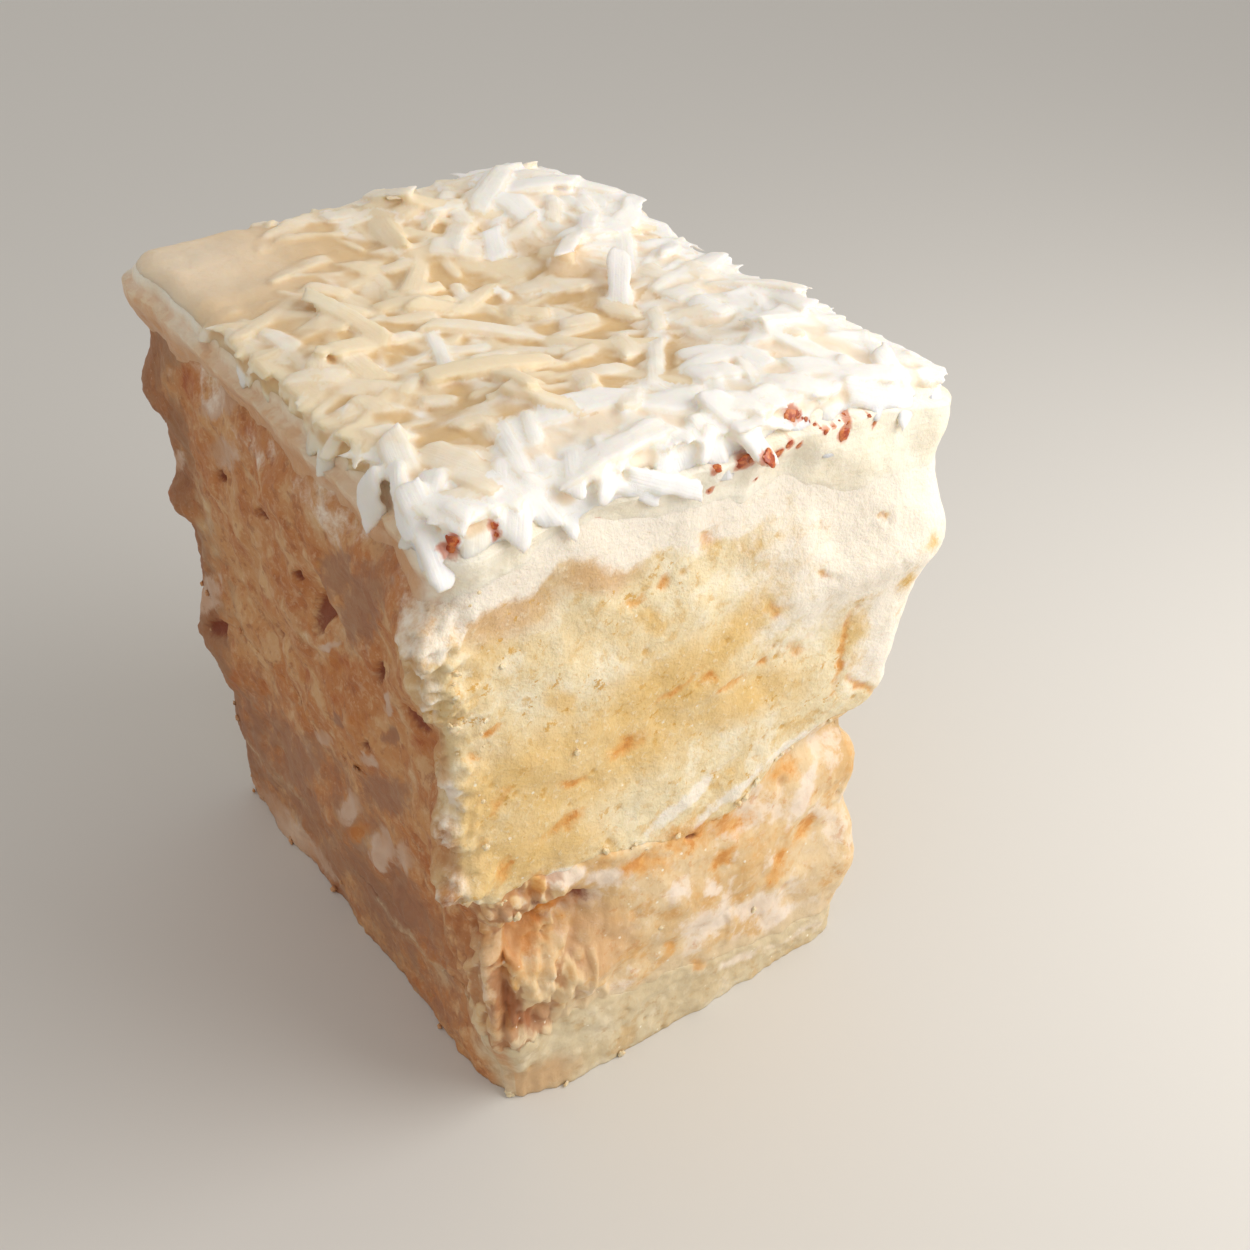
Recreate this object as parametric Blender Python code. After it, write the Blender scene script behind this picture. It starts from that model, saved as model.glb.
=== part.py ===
"""A cut piece of coconut layer cake: sponge, coconut cream filling, sponge and frosted coconut.

Metres, +Z up. +X runs along the lit cut face, which looks towards -Y. The shaded cut face looks
towards -X. The origin is at the middle of the piece's footprint, on the surface it rests on.
"""

import math
import random

import bmesh
import bpy
import numpy as np
from mathutils import Vector, noise

# Driving dimensions ----------------------------------------------------------------------------

CROWN_HEIGHT = 0.0618  # frosted top, without the coconut that lies on it
GAP = 0.0003  # between one layer and the next
BOX_MIDDLE = (0.00065, 0.00025)  # of the outline below, moved to the origin

# Corners of the foot and of the crown: front left, front right, back right, back left.
FOOT = ((-0.0196, -0.0262), (0.0180, -0.0266), (0.0180, 0.0252), (-0.0224, 0.0262))
CROWN = ((-0.0206, -0.0246), (0.0230, -0.0256), (0.0200, 0.0248), (-0.0220, 0.0282))
CORNER_ROUND = 0.11  # of half a side
LIP = 0.0024  # how far the upper sponge's front left edge hangs out past the shaded face

LOWER_SPONGE_HEIGHT = 0.0090
FILLING_HEIGHT = 0.0272
SPONGE_HEIGHT = 0.0568
SHOULDER = 0.0022  # rise of the rounded edge where the frosted side turns into the top
RIM_INSET = 0.91  # where that edge ends, as a share of the outline

OUTLINE_POINTS = 84
RIM_SCALE = 0.80  # the flat middle of a hidden layer face, as a share of its outline

# Coconut shreds, in metres
SEED = 45
SHRED_LENGTH = (0.0058, 0.0110)
SHRED_WIDTH = (0.0015, 0.0025)
SHRED_THICKNESS = (0.0005, 0.0008)
SHRED_SPACING = 0.0052
SHRED_SINK = 0.0003
FRONT_EDGE_SHREDS = 13
OTHER_EDGE_SHREDS = 10
EDGE_CLEARANCE = 0.0012  # from the sponge up to the lowest tip over the edge
EDGE_SHARE = 0.75  # of a shred's length, where it lies on the rounded edge
EDGE_BOW = 0.0006
MOST_TILT = 0.35  # rise over run of a shred that leans on others
HEAP_CELL = 0.0005
HALF_WIDTH = 0.0215
HALF_DEPTH = 0.0262
TOP_REACH = 0.97  # how near the outline a shred on the top may come, as a share of half a side

# Relief of the cut faces: centre on the wall, reach along the wall, reach in height, and how far
# the wall stands out there.
RELIEF = (
    # right edge of the lit face: torn sponge that hangs over a notch
    ((0.0226, -0.0266, 0.0480), 0.0120, 0.0075, 0.0026),
    ((0.0226, -0.0266, 0.0458), 0.0090, 0.0024, 0.0011),
    ((0.0210, -0.0266, 0.0350), 0.0100, 0.0050, 0.0010),
    ((0.0200, -0.0266, 0.0258), 0.0095, 0.0026, -0.0030),
    ((0.0196, -0.0266, 0.0180), 0.0090, 0.0040, -0.0008),
    ((0.0190, -0.0266, 0.0100), 0.0080, 0.0038, 0.0009),
    # left edge of the lit face: crumbs that stand out past the shaded face
    ((-0.0225, -0.0240, 0.0530), 0.0026, 0.0018, 0.0014),
    ((-0.0225, -0.0240, 0.0495), 0.0022, 0.0018, 0.0006),
    ((-0.0225, -0.0240, 0.0445), 0.0024, 0.0016, -0.0010),
    ((-0.0225, -0.0240, 0.0415), 0.0022, 0.0016, 0.0005),
    ((-0.0225, -0.0240, 0.0360), 0.0024, 0.0018, 0.0010),
    ((-0.0225, -0.0240, 0.0330), 0.0024, 0.0012, -0.0007),
    ((-0.0220, -0.0240, 0.0302), 0.0026, 0.0016, 0.0014),
    # the hollow that the filling left under the sponge, and the smear of cream beneath it
    ((-0.0162, -0.0262, 0.0210), 0.0048, 0.0026, -0.0034),
    ((-0.0120, -0.0262, 0.0150), 0.0040, 0.0034, 0.0012),
    ((-0.0195, -0.0262, 0.0110), 0.0030, 0.0040, 0.0010),
    ((0.0010, -0.0262, 0.0160), 0.0100, 0.0050, 0.0008),
    ((-0.0196, -0.0262, 0.0000), 0.0034, 0.0030, -0.0009),
    # shaded face: hollows in the soaked sponge behind the lip, and the swollen filling
    ((-0.0220, -0.0140, 0.0410), 0.0070, 0.0130, -0.0016),
    ((-0.0220, -0.0205, 0.0405), 0.0026, 0.0050, -0.0014),
    ((-0.0215, -0.0055, 0.0442), 0.0030, 0.0034, -0.0012),
    ((-0.0215, 0.0080, 0.0330), 0.0070, 0.0040, -0.0008),
    ((-0.0215, 0.0000, 0.0140), 0.0080, 0.0050, 0.0008),
    # far edge of the shaded face: the filling swells and crumbs stand out above it
    ((-0.0218, 0.0262, 0.0225), 0.0100, 0.0065, 0.0015),
    ((-0.0216, 0.0264, 0.0380), 0.0040, 0.0020, 0.0020),
    ((-0.0214, 0.0266, 0.0505), 0.0060, 0.0026, 0.0016),
    # top of the right face, drawn in behind the front corner
    ((0.0222, 0.0060, 0.0600), 0.0110, 0.0060, -0.0012),
    # hidden faces: the same kinds of hollow and swelling
    ((0.0205, 0.0040, 0.0250), 0.0120, 0.0030, -0.0018),
    ((0.0210, 0.0120, 0.0420), 0.0100, 0.0080, 0.0012),
    ((0.0050, 0.0270, 0.0220), 0.0110, 0.0050, 0.0013),
    ((-0.0060, 0.0272, 0.0400), 0.0080, 0.0060, -0.0009),
)
RELIEF_NOISE = ((0.0060, 0.00070), (0.0026, 0.00050))  # size of the lumps, and their height


def clamp(value, low, high):
    return max(low, min(high, value))


def smooth_step(low, high, value):
    """0 below low, 1 above high."""
    share = clamp((value - low) / (high - low), 0.0, 1.0)
    return share * share * (3.0 - 2.0 * share)


def bump(x, y, centre, reach):
    """1 at the centre, falling off over the reach."""
    dx = (x - centre[0]) / reach[0]
    dy = (y - centre[1]) / reach[1]
    return math.exp(-dx * dx - dy * dy)


def lumps(x, y, z, size):
    return noise.noise(Vector((x / size, y / size, z / size)))


# Outline and relief ----------------------------------------------------------------------------


def rounded_square(share):
    """Point and outward normal at a share of the way round a square of half side 1."""
    straight = 2.0 * (1.0 - CORNER_ROUND)
    arc = math.pi / 2.0 * CORNER_ROUND
    side, along = divmod(share * 4.0, 1.0)
    along *= straight + arc
    if along < straight:
        point = Vector((along - straight / 2.0, -1.0))
        normal = Vector((0.0, -1.0))
    else:
        turn = (along - straight) / CORNER_ROUND
        normal = Vector((math.sin(turn), -math.cos(turn)))
        point = Vector((1.0 - CORNER_ROUND, CORNER_ROUND - 1.0)) + CORNER_ROUND * normal
    quarter_turns = int(side) % 4
    for _ in range(quarter_turns):
        point = Vector((-point.y, point.x))
        normal = Vector((-normal.y, normal.x))
    return point, normal


def spread_over(corners, u, v):
    """Where the square's point (u, v) lies between four corners."""
    front_left, front_right, back_right, back_left = (Vector(c) for c in corners)
    front = front_left.lerp(front_right, (u + 1.0) / 2.0)
    back = back_left.lerp(back_right, (u + 1.0) / 2.0)
    return front.lerp(back, (v + 1.0) / 2.0)


def corners_at(z):
    share = z / CROWN_HEIGHT
    corners = [Vector(f).lerp(Vector(c), share) for f, c in zip(FOOT, CROWN)]
    corners[0].x -= LIP * smooth_step(0.024, 0.030, z) * smooth_step(0.058, 0.053, z)
    return corners


def relief(x, y, z):
    """How far the wall stands out from its plane at a point."""
    out = 0.0
    for (cx, cy, cz), reach, rise, height in RELIEF:
        flat = ((x - cx) ** 2 + (y - cy) ** 2) / reach**2
        if flat < 9.0:
            out += height * math.exp(-flat - ((z - cz) / rise) ** 2)
    for size, height in RELIEF_NOISE:
        out += height * lumps(x, y, z, size)
    return out


def wall_point(share, z):
    """A point of the cut faces, a share of the way round, and the wall's outward normal."""
    (u, v), normal = rounded_square(share)
    x, y = spread_over(corners_at(z), u, v)
    out = relief(x, y, z)
    return Vector((x + normal.x * out, y + normal.y * out, z)), Vector((normal.x, normal.y, 0.0))


# Faces between the layers ----------------------------------------------------------------------


def lower_sponge_top(x, y):
    wedge = smooth_step(-0.016, 0.018, x) * smooth_step(-0.004, -0.024, y)
    return LOWER_SPONGE_HEIGHT - 0.0052 * wedge + 0.0010 * lumps(x, y, 0.1, 0.007)


def filling_top(x, y):
    dip = bump(x, y, (-0.0005, -0.026), (0.0075, 0.010))
    rise = bump(x, y, (0.0155, -0.026), (0.0045, 0.008))
    return FILLING_HEIGHT - 0.0034 * dip + 0.0012 * rise + 0.0008 * lumps(x, y, 0.2, 0.006)


def sponge_top(x, y):
    front = smooth_step(-0.006, -0.022, y)
    thin = bump(x, y, (-0.0125, -0.026), (0.0055, 0.006))
    thick = smooth_step(0.005, 0.012, x) * front
    return SPONGE_HEIGHT + 0.0022 * thin - 0.0026 * thick + 0.0007 * lumps(x, y, 0.3, 0.006)


def base(x, y):
    return 0.0


def crown(x, y):
    """The frosted top: dished in the middle, heaped at the back and lower along the right."""
    dish = bump(x, y, (0.001, 0.002), (0.013, 0.016))
    heap = bump(x, y, (0.0115, 0.0180), (0.0085, 0.0085))
    ridge = bump(x, y, (0.004, -0.0215), (0.015, 0.0050))
    smear = bump(x, y, (-0.016, 0.021), (0.008, 0.009))
    right = smooth_step(0.0120, 0.0225, x)
    top = CROWN_HEIGHT - 0.0016 * dish + 0.0012 * heap + 0.0004 * ridge + 0.0006 * smear
    return top - 0.0018 * right + 0.0004 * lumps(x, y, 0.4, 0.005)


# Layers ----------------------------------------------------------------------------------------


def outline_shares():
    return [i / OUTLINE_POINTS for i in range(OUTLINE_POINTS)]


def side_ring(lower, upper, share_up, shift):
    """A ring of wall points a share of the way up from one layer face to the next."""
    ring = []
    for share in outline_shares():
        middle, _ = wall_point(share, CROWN_HEIGHT / 2.0)
        low = lower(middle.x, middle.y)
        high = upper(middle.x, middle.y)
        z = low + (high - low) * share_up
        point, _ = wall_point(share, z)
        ring.append(Vector((point.x, point.y, point.z + shift)))
    return ring


def flat_ring(ring, height):
    """The same ring drawn in towards its middle and laid flat."""
    middle = sum(ring, Vector()) / len(ring)
    drawn = [middle + (p - middle) * RIM_SCALE for p in ring]
    return [Vector((p.x, p.y, height)) for p in drawn]


def loft(rings):
    """A closed mesh through rings of equal counts, its first and last rings filled.

    The first strip is split the other way, so that it fits the last strip of the layer below.
    """
    mesh = bmesh.new()
    rows = [[mesh.verts.new(p) for p in ring] for ring in rings]
    count = len(rings[0])
    for below, above in zip(rows, rows[1:]):
        for i in range(count):
            j = (i + 1) % count
            if below is rows[0]:
                mesh.faces.new((below[i], below[j], above[i]))
                mesh.faces.new((below[j], above[j], above[i]))
            else:
                mesh.faces.new((below[i], below[j], above[j]))
                mesh.faces.new((below[i], above[j], above[i]))
    mesh.faces.new(rows[0][::-1])
    mesh.faces.new(rows[-1])
    bmesh.ops.triangulate(mesh, faces=[f for f in mesh.faces if len(f.verts) > 4])
    bmesh.ops.recalc_face_normals(mesh, faces=mesh.faces)
    return mesh


def make_object(name, mesh, collection, material):
    data = bpy.data.meshes.new(name)
    mesh.to_mesh(data)
    mesh.free()
    piece = bpy.data.objects.new(name, data)
    collection.objects.link(piece)
    if material is not None:
        data.materials.append(material)
    return piece


def layer(lower, upper, lower_height, upper_height, steps):
    """Rings from a layer's lower face to its upper one."""
    raise_by = 0.0 if lower is base else GAP / 2.0
    first = side_ring(lower, upper, 0.0, raise_by)
    rings = [] if lower is base else [flat_ring(first, lower_height + raise_by)]
    rings.append(first)
    rings += [side_ring(lower, upper, i / steps, 0.0) for i in range(1, steps)]
    last = side_ring(lower, upper, 1.0, -GAP / 2.0)
    rings += [last, flat_ring(last, upper_height - GAP / 2.0)]
    return rings


def frosting_rings():
    """The frosting: a low wall, a round shoulder and the dished crown."""
    first = side_ring(sponge_top, crown, 0.0, GAP / 2.0)
    rings = [flat_ring(first, SPONGE_HEIGHT + GAP / 2.0), first]
    for turn in (0.0, 30.0, 60.0, 90.0):
        ring = [shoulder_point(share, math.radians(turn))[0] for share in outline_shares()]
        rings.append(ring)
    rim = rings[-1]
    middle = sum(rim, Vector()) / len(rim)
    for scale in (0.90, 0.74, 0.54, 0.30):
        ring = [middle + (p - middle) * scale for p in rim]
        rings.append([Vector((p.x, p.y, crown(p.x, p.y))) for p in ring])
    return rings


def shoulder_point(share, turn):
    """A point of the frosting's rounded edge, turned up from the wall, and its normal."""
    wall, out = wall_point(share, CROWN_HEIGHT - SHOULDER)
    rim = wall * RIM_INSET
    bottom = crown(rim.x, rim.y) - SHOULDER
    flat = rim.lerp(wall, math.cos(turn))
    normal = Vector((out.x * math.cos(turn), out.y * math.cos(turn), math.sin(turn)))
    return Vector((flat.x, flat.y, bottom + SHOULDER * math.sin(turn))), normal


# Coconut ---------------------------------------------------------------------------------------


def strip(middle, along, up, length, width, thickness, bow, bend=0.0):
    """A shred: a thin strip, bowed and bent along its length and narrowed at both ends."""
    along = along.normalized()
    across = up.cross(along).normalized()
    up = along.cross(across)
    mesh = bmesh.new()
    rows = []
    for share, narrow in ((-0.5, 0.62), (0.0, 1.0), (0.5, 0.62)):
        curve = 4.0 * share * share
        spine = middle + along * (share * length) - up * (bow * curve) + across * (bend * curve)
        half = across * (width * narrow / 2.0)
        rise = up * thickness
        row = (spine - half, spine + half, spine + half * 0.8 + rise, spine - half * 0.8 + rise)
        rows.append([mesh.verts.new(p) for p in row])
    for near, far in zip(rows, rows[1:]):
        for i in range(4):
            j = (i + 1) % 4
            mesh.faces.new((near[i], near[j], far[j], far[i]))
    mesh.faces.new(rows[0][::-1])
    mesh.faces.new(rows[-1])
    bmesh.ops.recalc_face_normals(mesh, faces=mesh.faces)
    return mesh


class Heap:
    """Heights of what lies on the crown so far, cell by cell."""

    def __init__(self):
        self.reach = 0.034
        count = int(2.0 * self.reach / HEAP_CELL)
        self.heights = np.zeros((count, count))
        for i in range(count):
            for j in range(count):
                x = i * HEAP_CELL - self.reach
                y = j * HEAP_CELL - self.reach
                self.heights[i, j] = crown(x, y)

    def cell(self, x, y):
        i = int((x + self.reach) / HEAP_CELL)
        j = int((y + self.reach) / HEAP_CELL)
        return i, j

    def lay(self, x, y, heading, length, width, thickness):
        """Rests a shred on the heap. Gives its middle and its direction."""
        ahead = Vector((math.cos(heading), math.sin(heading)))
        aside = Vector((-ahead.y, ahead.x))
        spots = []
        for i in range(-6, 7):
            for j in (-1, 0, 1):
                run = i / 12.0 * length
                place = Vector((x, y)) + ahead * run + aside * (j * width / 3.0)
                cell = self.cell(place.x, place.y)
                spots.append((run, cell, self.heights[cell]))
        behind = max(height for run, _, height in spots if run < 0.0)
        before = max(height for run, _, height in spots if run > 0.0)
        slope = clamp((before - behind) / (length / 2.0), -MOST_TILT, MOST_TILT)
        rest = max(height - slope * run for run, _, height in spots) - SHRED_SINK
        for run, cell, height in spots:
            self.heights[cell] = max(height, rest + slope * run + thickness)
        return Vector((x, y, rest)), Vector((ahead.x, ahead.y, slope))


def draw_size(draw):
    """Length, width and thickness of a shred."""
    length = draw.uniform(*SHRED_LENGTH)
    width = draw.uniform(*SHRED_WIDTH)
    thickness = draw.uniform(*SHRED_THICKNESS)
    return length, width, thickness


def top_shreds(draw):
    """Shreds that lie all over the crown, one to a cell of a jittered grid."""
    heap = Heap()
    columns = int(2.0 * HALF_WIDTH / SHRED_SPACING)
    rows = int(2.0 * HALF_DEPTH / SHRED_SPACING)
    meshes = []
    for i in range(columns):
        for j in range(rows):
            u = ((i + draw.uniform(0.1, 0.9)) / columns) * 2.0 - 1.0
            v = ((j + draw.uniform(0.1, 0.9)) / rows) * 2.0 - 1.0
            heading = draw.uniform(0.0, math.pi)
            length, width, thickness = draw_size(draw)
            bow = draw.uniform(-0.0002, 0.0006)
            roll = draw.uniform(-0.35, 0.35)
            bend = draw.uniform(-0.0009, 0.0009)
            keep = draw.random()
            ends_u = abs(math.cos(heading)) * length / 2.0 / HALF_WIDTH
            ends_v = abs(math.sin(heading)) * length / 2.0 / HALF_DEPTH
            u = clamp(u, ends_u - TOP_REACH, TOP_REACH - ends_u)
            v = clamp(v, ends_v - TOP_REACH, TOP_REACH - ends_v)
            place = spread_over(CROWN, u, v)
            smooth = bump(place.x, place.y, (-0.017, 0.020), (0.0075, 0.0110))
            if keep < smooth:
                continue
            middle, along = heap.lay(place.x, place.y, heading, length, width, thickness)
            across = Vector((-along.y, along.x, 0.0)).normalized()
            up = Vector((0.0, 0.0, 1.0)) + across * roll
            meshes.append(strip(middle, along, up, length, width, thickness, bow, bend))
    return meshes


def edge_shreds(draw):
    """Shreds on the rounded edge, most of them over the lit face, spread evenly."""
    shares = [(i + draw.random()) / FRONT_EDGE_SHREDS / 4.0 for i in range(FRONT_EDGE_SHREDS)]
    others = [(i + draw.random()) / OTHER_EDGE_SHREDS for i in range(OTHER_EDGE_SHREDS)]
    shares += [0.25 + 0.75 * share for share in others]
    meshes = []
    for share in shares:
        turn = math.radians(draw.uniform(28.0, 70.0))
        place, normal = shoulder_point(share, turn)
        length, width, thickness = draw_size(draw)
        round_the_edge = Vector((-normal.y, normal.x, 0.0)).normalized()
        down_the_edge = round_the_edge.cross(normal)
        lean = draw.uniform(-0.5, 0.5) * math.pi
        along = round_the_edge * math.sin(lean) + down_the_edge * math.cos(lean)
        above_sponge = place.z - sponge_top(place.x, place.y) - EDGE_CLEARANCE
        tallest = 2.0 * above_sponge / max(abs(along.z), 0.05)
        length = min(length * EDGE_SHARE, tallest)
        place = place - normal * SHRED_SINK
        if length > SHRED_LENGTH[0] / 2.0:
            meshes.append(strip(place, along, normal, length, width, thickness, EDGE_BOW))
    return meshes


# Shreds that stand out: middle, direction, length, width
MARKED_SHREDS = (
    ((0.0094, -0.0009, 0.0624), (0.42, 0.62, 0.30), 0.0080, 0.0021),
    ((0.0130, 0.0180, 0.0632), (0.80, -0.30, 0.15), 0.0085, 0.0023),
    ((0.0095, 0.0195, 0.0632), (0.60, 0.50, 0.10), 0.0080, 0.0022),
    ((-0.0205, -0.0225, 0.0606), (-0.10, -0.70, -0.55), 0.0080, 0.0021),
    ((-0.0190, -0.0170, 0.0618), (-0.25, -0.85, -0.25), 0.0090, 0.0020),
    ((-0.0070, -0.0235, 0.0622), (0.90, 0.15, 0.10), 0.0100, 0.0023),
    ((0.0030, -0.0245, 0.0616), (0.20, -0.60, -0.50), 0.0075, 0.0024),
    ((0.0130, -0.0240, 0.0618), (0.85, -0.30, 0.05), 0.0090, 0.0022),
)


def marked_shreds():
    up = Vector((0.0, 0.0, 1.0))
    meshes = []
    for middle, along, length, width in MARKED_SHREDS:
        meshes.append(strip(Vector(middle), Vector(along), up, length, width, 0.0008, 0.0004))
    return meshes


def clear_of_sponge(mesh):
    return all(v.co.z > sponge_top(v.co.x, v.co.y) + 2.0 * GAP for v in mesh.verts)


def fuse(core, scraps):
    """Joins a collection's objects to the core, fills sealed hollows and drops loose scraps."""
    union = core.modifiers.new("fuse", "BOOLEAN")
    union.operation = "UNION"
    union.operand_type = "COLLECTION"
    union.collection = scraps
    union.solver = "MANIFOLD"
    depsgraph = bpy.context.evaluated_depsgraph_get()
    joined = bpy.data.meshes.new_from_object(core.evaluated_get(depsgraph))
    core.modifiers.remove(union)
    core.data = joined
    for piece in list(scraps.objects):
        bpy.data.objects.remove(piece)
    bpy.data.collections.remove(scraps)
    keep_largest_shell(core)


def keep_largest_shell(piece):
    mesh = bmesh.new()
    mesh.from_mesh(piece.data)
    bmesh.ops.dissolve_limit(
        mesh, angle_limit=math.radians(2.0), verts=mesh.verts, edges=mesh.edges
    )
    bmesh.ops.triangulate(mesh, faces=mesh.faces)
    unseen = set(mesh.faces)
    shells = []
    while unseen:
        start = unseen.pop()
        shell = [start]
        for face in shell:
            for edge in face.edges:
                for other in edge.link_faces:
                    if other in unseen:
                        unseen.remove(other)
                        shell.append(other)
        shells.append(shell)
    shells.sort(key=len)
    loose = [face for shell in shells[:-1] for face in shell]
    bmesh.ops.delete(mesh, geom=loose, context="FACES")
    mesh.to_mesh(piece.data)
    mesh.free()


# Object ----------------------------------------------------------------------------------------


def material(name, colour, roughness):
    made = bpy.data.materials.new(name)
    made.use_nodes = True
    shader = made.node_tree.nodes["Principled BSDF"]
    shader.inputs["Base Color"].default_value = (*colour, 1.0)
    shader.inputs["Roughness"].default_value = roughness
    shader.inputs["Metallic"].default_value = 0.0
    return made


def build():
    for old in list(bpy.data.objects):
        bpy.data.objects.remove(old)
    cake = bpy.data.collections.new("coconut_layer_cake")
    bpy.context.scene.collection.children.link(cake)
    sponge = material("sponge", (0.78, 0.62, 0.36), 0.85)
    cream = material("cream", (0.80, 0.58, 0.40), 0.55)
    coconut = material("coconut", (0.90, 0.82, 0.70), 0.60)

    rings = layer(base, lower_sponge_top, 0.0, LOWER_SPONGE_HEIGHT, 3)
    make_object("lower_sponge", loft(rings), cake, sponge)
    rings = layer(lower_sponge_top, filling_top, LOWER_SPONGE_HEIGHT, FILLING_HEIGHT, 7)
    make_object("cream_filling", loft(rings), cake, cream)
    rings = layer(filling_top, sponge_top, FILLING_HEIGHT, SPONGE_HEIGHT, 13)
    make_object("upper_sponge", loft(rings), cake, sponge)

    frosting = make_object("coconut_frosting", loft(frosting_rings()), cake, coconut)
    shreds = bpy.data.collections.new("shreds")
    bpy.context.scene.collection.children.link(shreds)
    draw = random.Random(SEED)
    for i, mesh in enumerate(top_shreds(draw) + edge_shreds(draw) + marked_shreds()):
        if clear_of_sponge(mesh):
            make_object(f"shred_{i}", mesh, shreds, None)
    fuse(frosting, shreds)
    for piece in cake.objects:
        piece.location = (-BOX_MIDDLE[0], -BOX_MIDDLE[1], 0.0)


build()
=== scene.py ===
"""The looks of the cut piece of coconut layer cake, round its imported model.

The four layers are made again as fine meshes on the same outline and relief as the solids, with
crumb, pores and smears. The coconut strands in the filling are relief. The shreds on top and the
cream that holds them are one skin. Loose crumbs and syrup specks are pieces of their own. Metres,
+Z up, +X along the lit cut face, which looks towards -Y.
"""

import math
import random

import bmesh
import bpy
import numpy as np
from mathutils import Matrix, Vector, noise
from mathutils.bvhtree import BVHTree
from mathutils.interpolate import poly_3d_calc


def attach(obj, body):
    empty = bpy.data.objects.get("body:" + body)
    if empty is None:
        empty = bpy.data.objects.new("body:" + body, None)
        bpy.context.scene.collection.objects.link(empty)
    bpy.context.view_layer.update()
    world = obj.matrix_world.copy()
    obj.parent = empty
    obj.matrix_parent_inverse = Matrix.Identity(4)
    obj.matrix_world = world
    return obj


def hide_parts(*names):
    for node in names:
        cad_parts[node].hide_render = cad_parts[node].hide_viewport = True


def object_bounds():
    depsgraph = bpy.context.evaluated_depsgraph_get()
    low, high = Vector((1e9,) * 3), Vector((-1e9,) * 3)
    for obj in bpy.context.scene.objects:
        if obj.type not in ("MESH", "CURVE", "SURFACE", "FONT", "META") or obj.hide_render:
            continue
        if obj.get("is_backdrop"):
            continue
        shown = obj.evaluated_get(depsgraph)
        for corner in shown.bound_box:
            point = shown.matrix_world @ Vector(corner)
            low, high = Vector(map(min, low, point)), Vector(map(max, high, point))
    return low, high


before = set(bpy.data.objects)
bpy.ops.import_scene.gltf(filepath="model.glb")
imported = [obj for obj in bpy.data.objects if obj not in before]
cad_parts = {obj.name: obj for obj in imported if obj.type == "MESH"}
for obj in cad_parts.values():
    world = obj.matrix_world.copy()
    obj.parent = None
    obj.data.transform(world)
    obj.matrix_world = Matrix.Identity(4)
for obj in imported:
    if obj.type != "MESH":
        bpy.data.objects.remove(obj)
cad_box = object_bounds()

MM = 0.001

# The cake's form, as in the CAD source ---------------------------------------------------------

CROWN_HEIGHT = 0.0618
BOX_MIDDLE = (0.00065, 0.00025)  # of the outline; each piece is moved so that this is 0, 0
# Corners of the outline: front left, front right, back right and back left
FOOT = ((-0.0196, -0.0262), (0.0180, -0.0266), (0.0180, 0.0252), (-0.0224, 0.0262))
CROWN = ((-0.0206, -0.0246), (0.0230, -0.0256), (0.0200, 0.0248), (-0.0220, 0.0282))
CORNER_ROUND = 0.11  # of half a side
LIP = 0.0024  # of the upper sponge at the front left corner
LOWER_SPONGE_HEIGHT = 0.0090
FILLING_HEIGHT = 0.0272
SPONGE_HEIGHT = 0.0568
SHOULDER = 0.0022  # height of the frosting's rounded edge
RIM_INSET = 0.91  # of the wall's place, where that edge meets the top

CAMERA_PLACE = (-0.05268, -0.08975, 0.11086)
CAMERA_TILT = 51.7  # degrees up from straight down
CAMERA_TURN = -35.0  # degrees
CAMERA_LENS = 40.32  # mm, on a sensor 36 mm wide
# The same place before the pieces are moved
EYE = Vector(CAMERA_PLACE) + Vector((*BOX_MIDDLE, 0.0))

# The solid's own shreds. The same draws are made again here.
SEED = 45
# Least and most length, width and thickness of a shred
SHRED_SIZE = ((0.0058, 0.0110), (0.0015, 0.0025), (0.0005, 0.0008))
SHRED_SPACING = 0.0052
SHRED_SINK = 0.0003  # into what a shred lies on
FRONT_EDGE_SHREDS = 13
OTHER_EDGE_SHREDS = 10
EDGE_CLEARANCE = 0.0012  # above the sponge
EDGE_SHARE = 0.75  # of the drawn length
EDGE_BOW = 0.0006
EDGE_TURNS = (28.0, 70.0)  # degrees up the rounded edge
MOST_TILT = 0.35  # rise over run of a shred on the heap
HEAP_CELL = 0.0005
HEAP_REACH = 0.034  # of the heap's cells from the middle
HALF_WIDTH = 0.0215  # of the crown
HALF_DEPTH = 0.0262
TOP_REACH = 0.97  # of the crown's half, for the shreds' ends
MARKED_THICKNESS = 0.0008
MARKED_BOW = 0.0004
# Shreds at marked places: middle, direction, length and width
MARKED_SHREDS = (
    ((0.0094, -0.0009, 0.0624), (0.42, 0.62, 0.30), 0.0080, 0.0021),
    ((0.0130, 0.0180, 0.0632), (0.80, -0.30, 0.15), 0.0085, 0.0023),
    ((0.0095, 0.0195, 0.0632), (0.60, 0.50, 0.10), 0.0080, 0.0022),
    ((-0.0205, -0.0225, 0.0606), (-0.10, -0.70, -0.55), 0.0080, 0.0021),
    ((-0.0190, -0.0170, 0.0618), (-0.25, -0.85, -0.25), 0.0090, 0.0020),
    ((-0.0070, -0.0235, 0.0622), (0.90, 0.15, 0.10), 0.0100, 0.0023),
    ((0.0030, -0.0245, 0.0616), (0.20, -0.60, -0.50), 0.0075, 0.0024),
    ((0.0130, -0.0240, 0.0618), (0.85, -0.30, 0.05), 0.0090, 0.0022),
)

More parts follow.
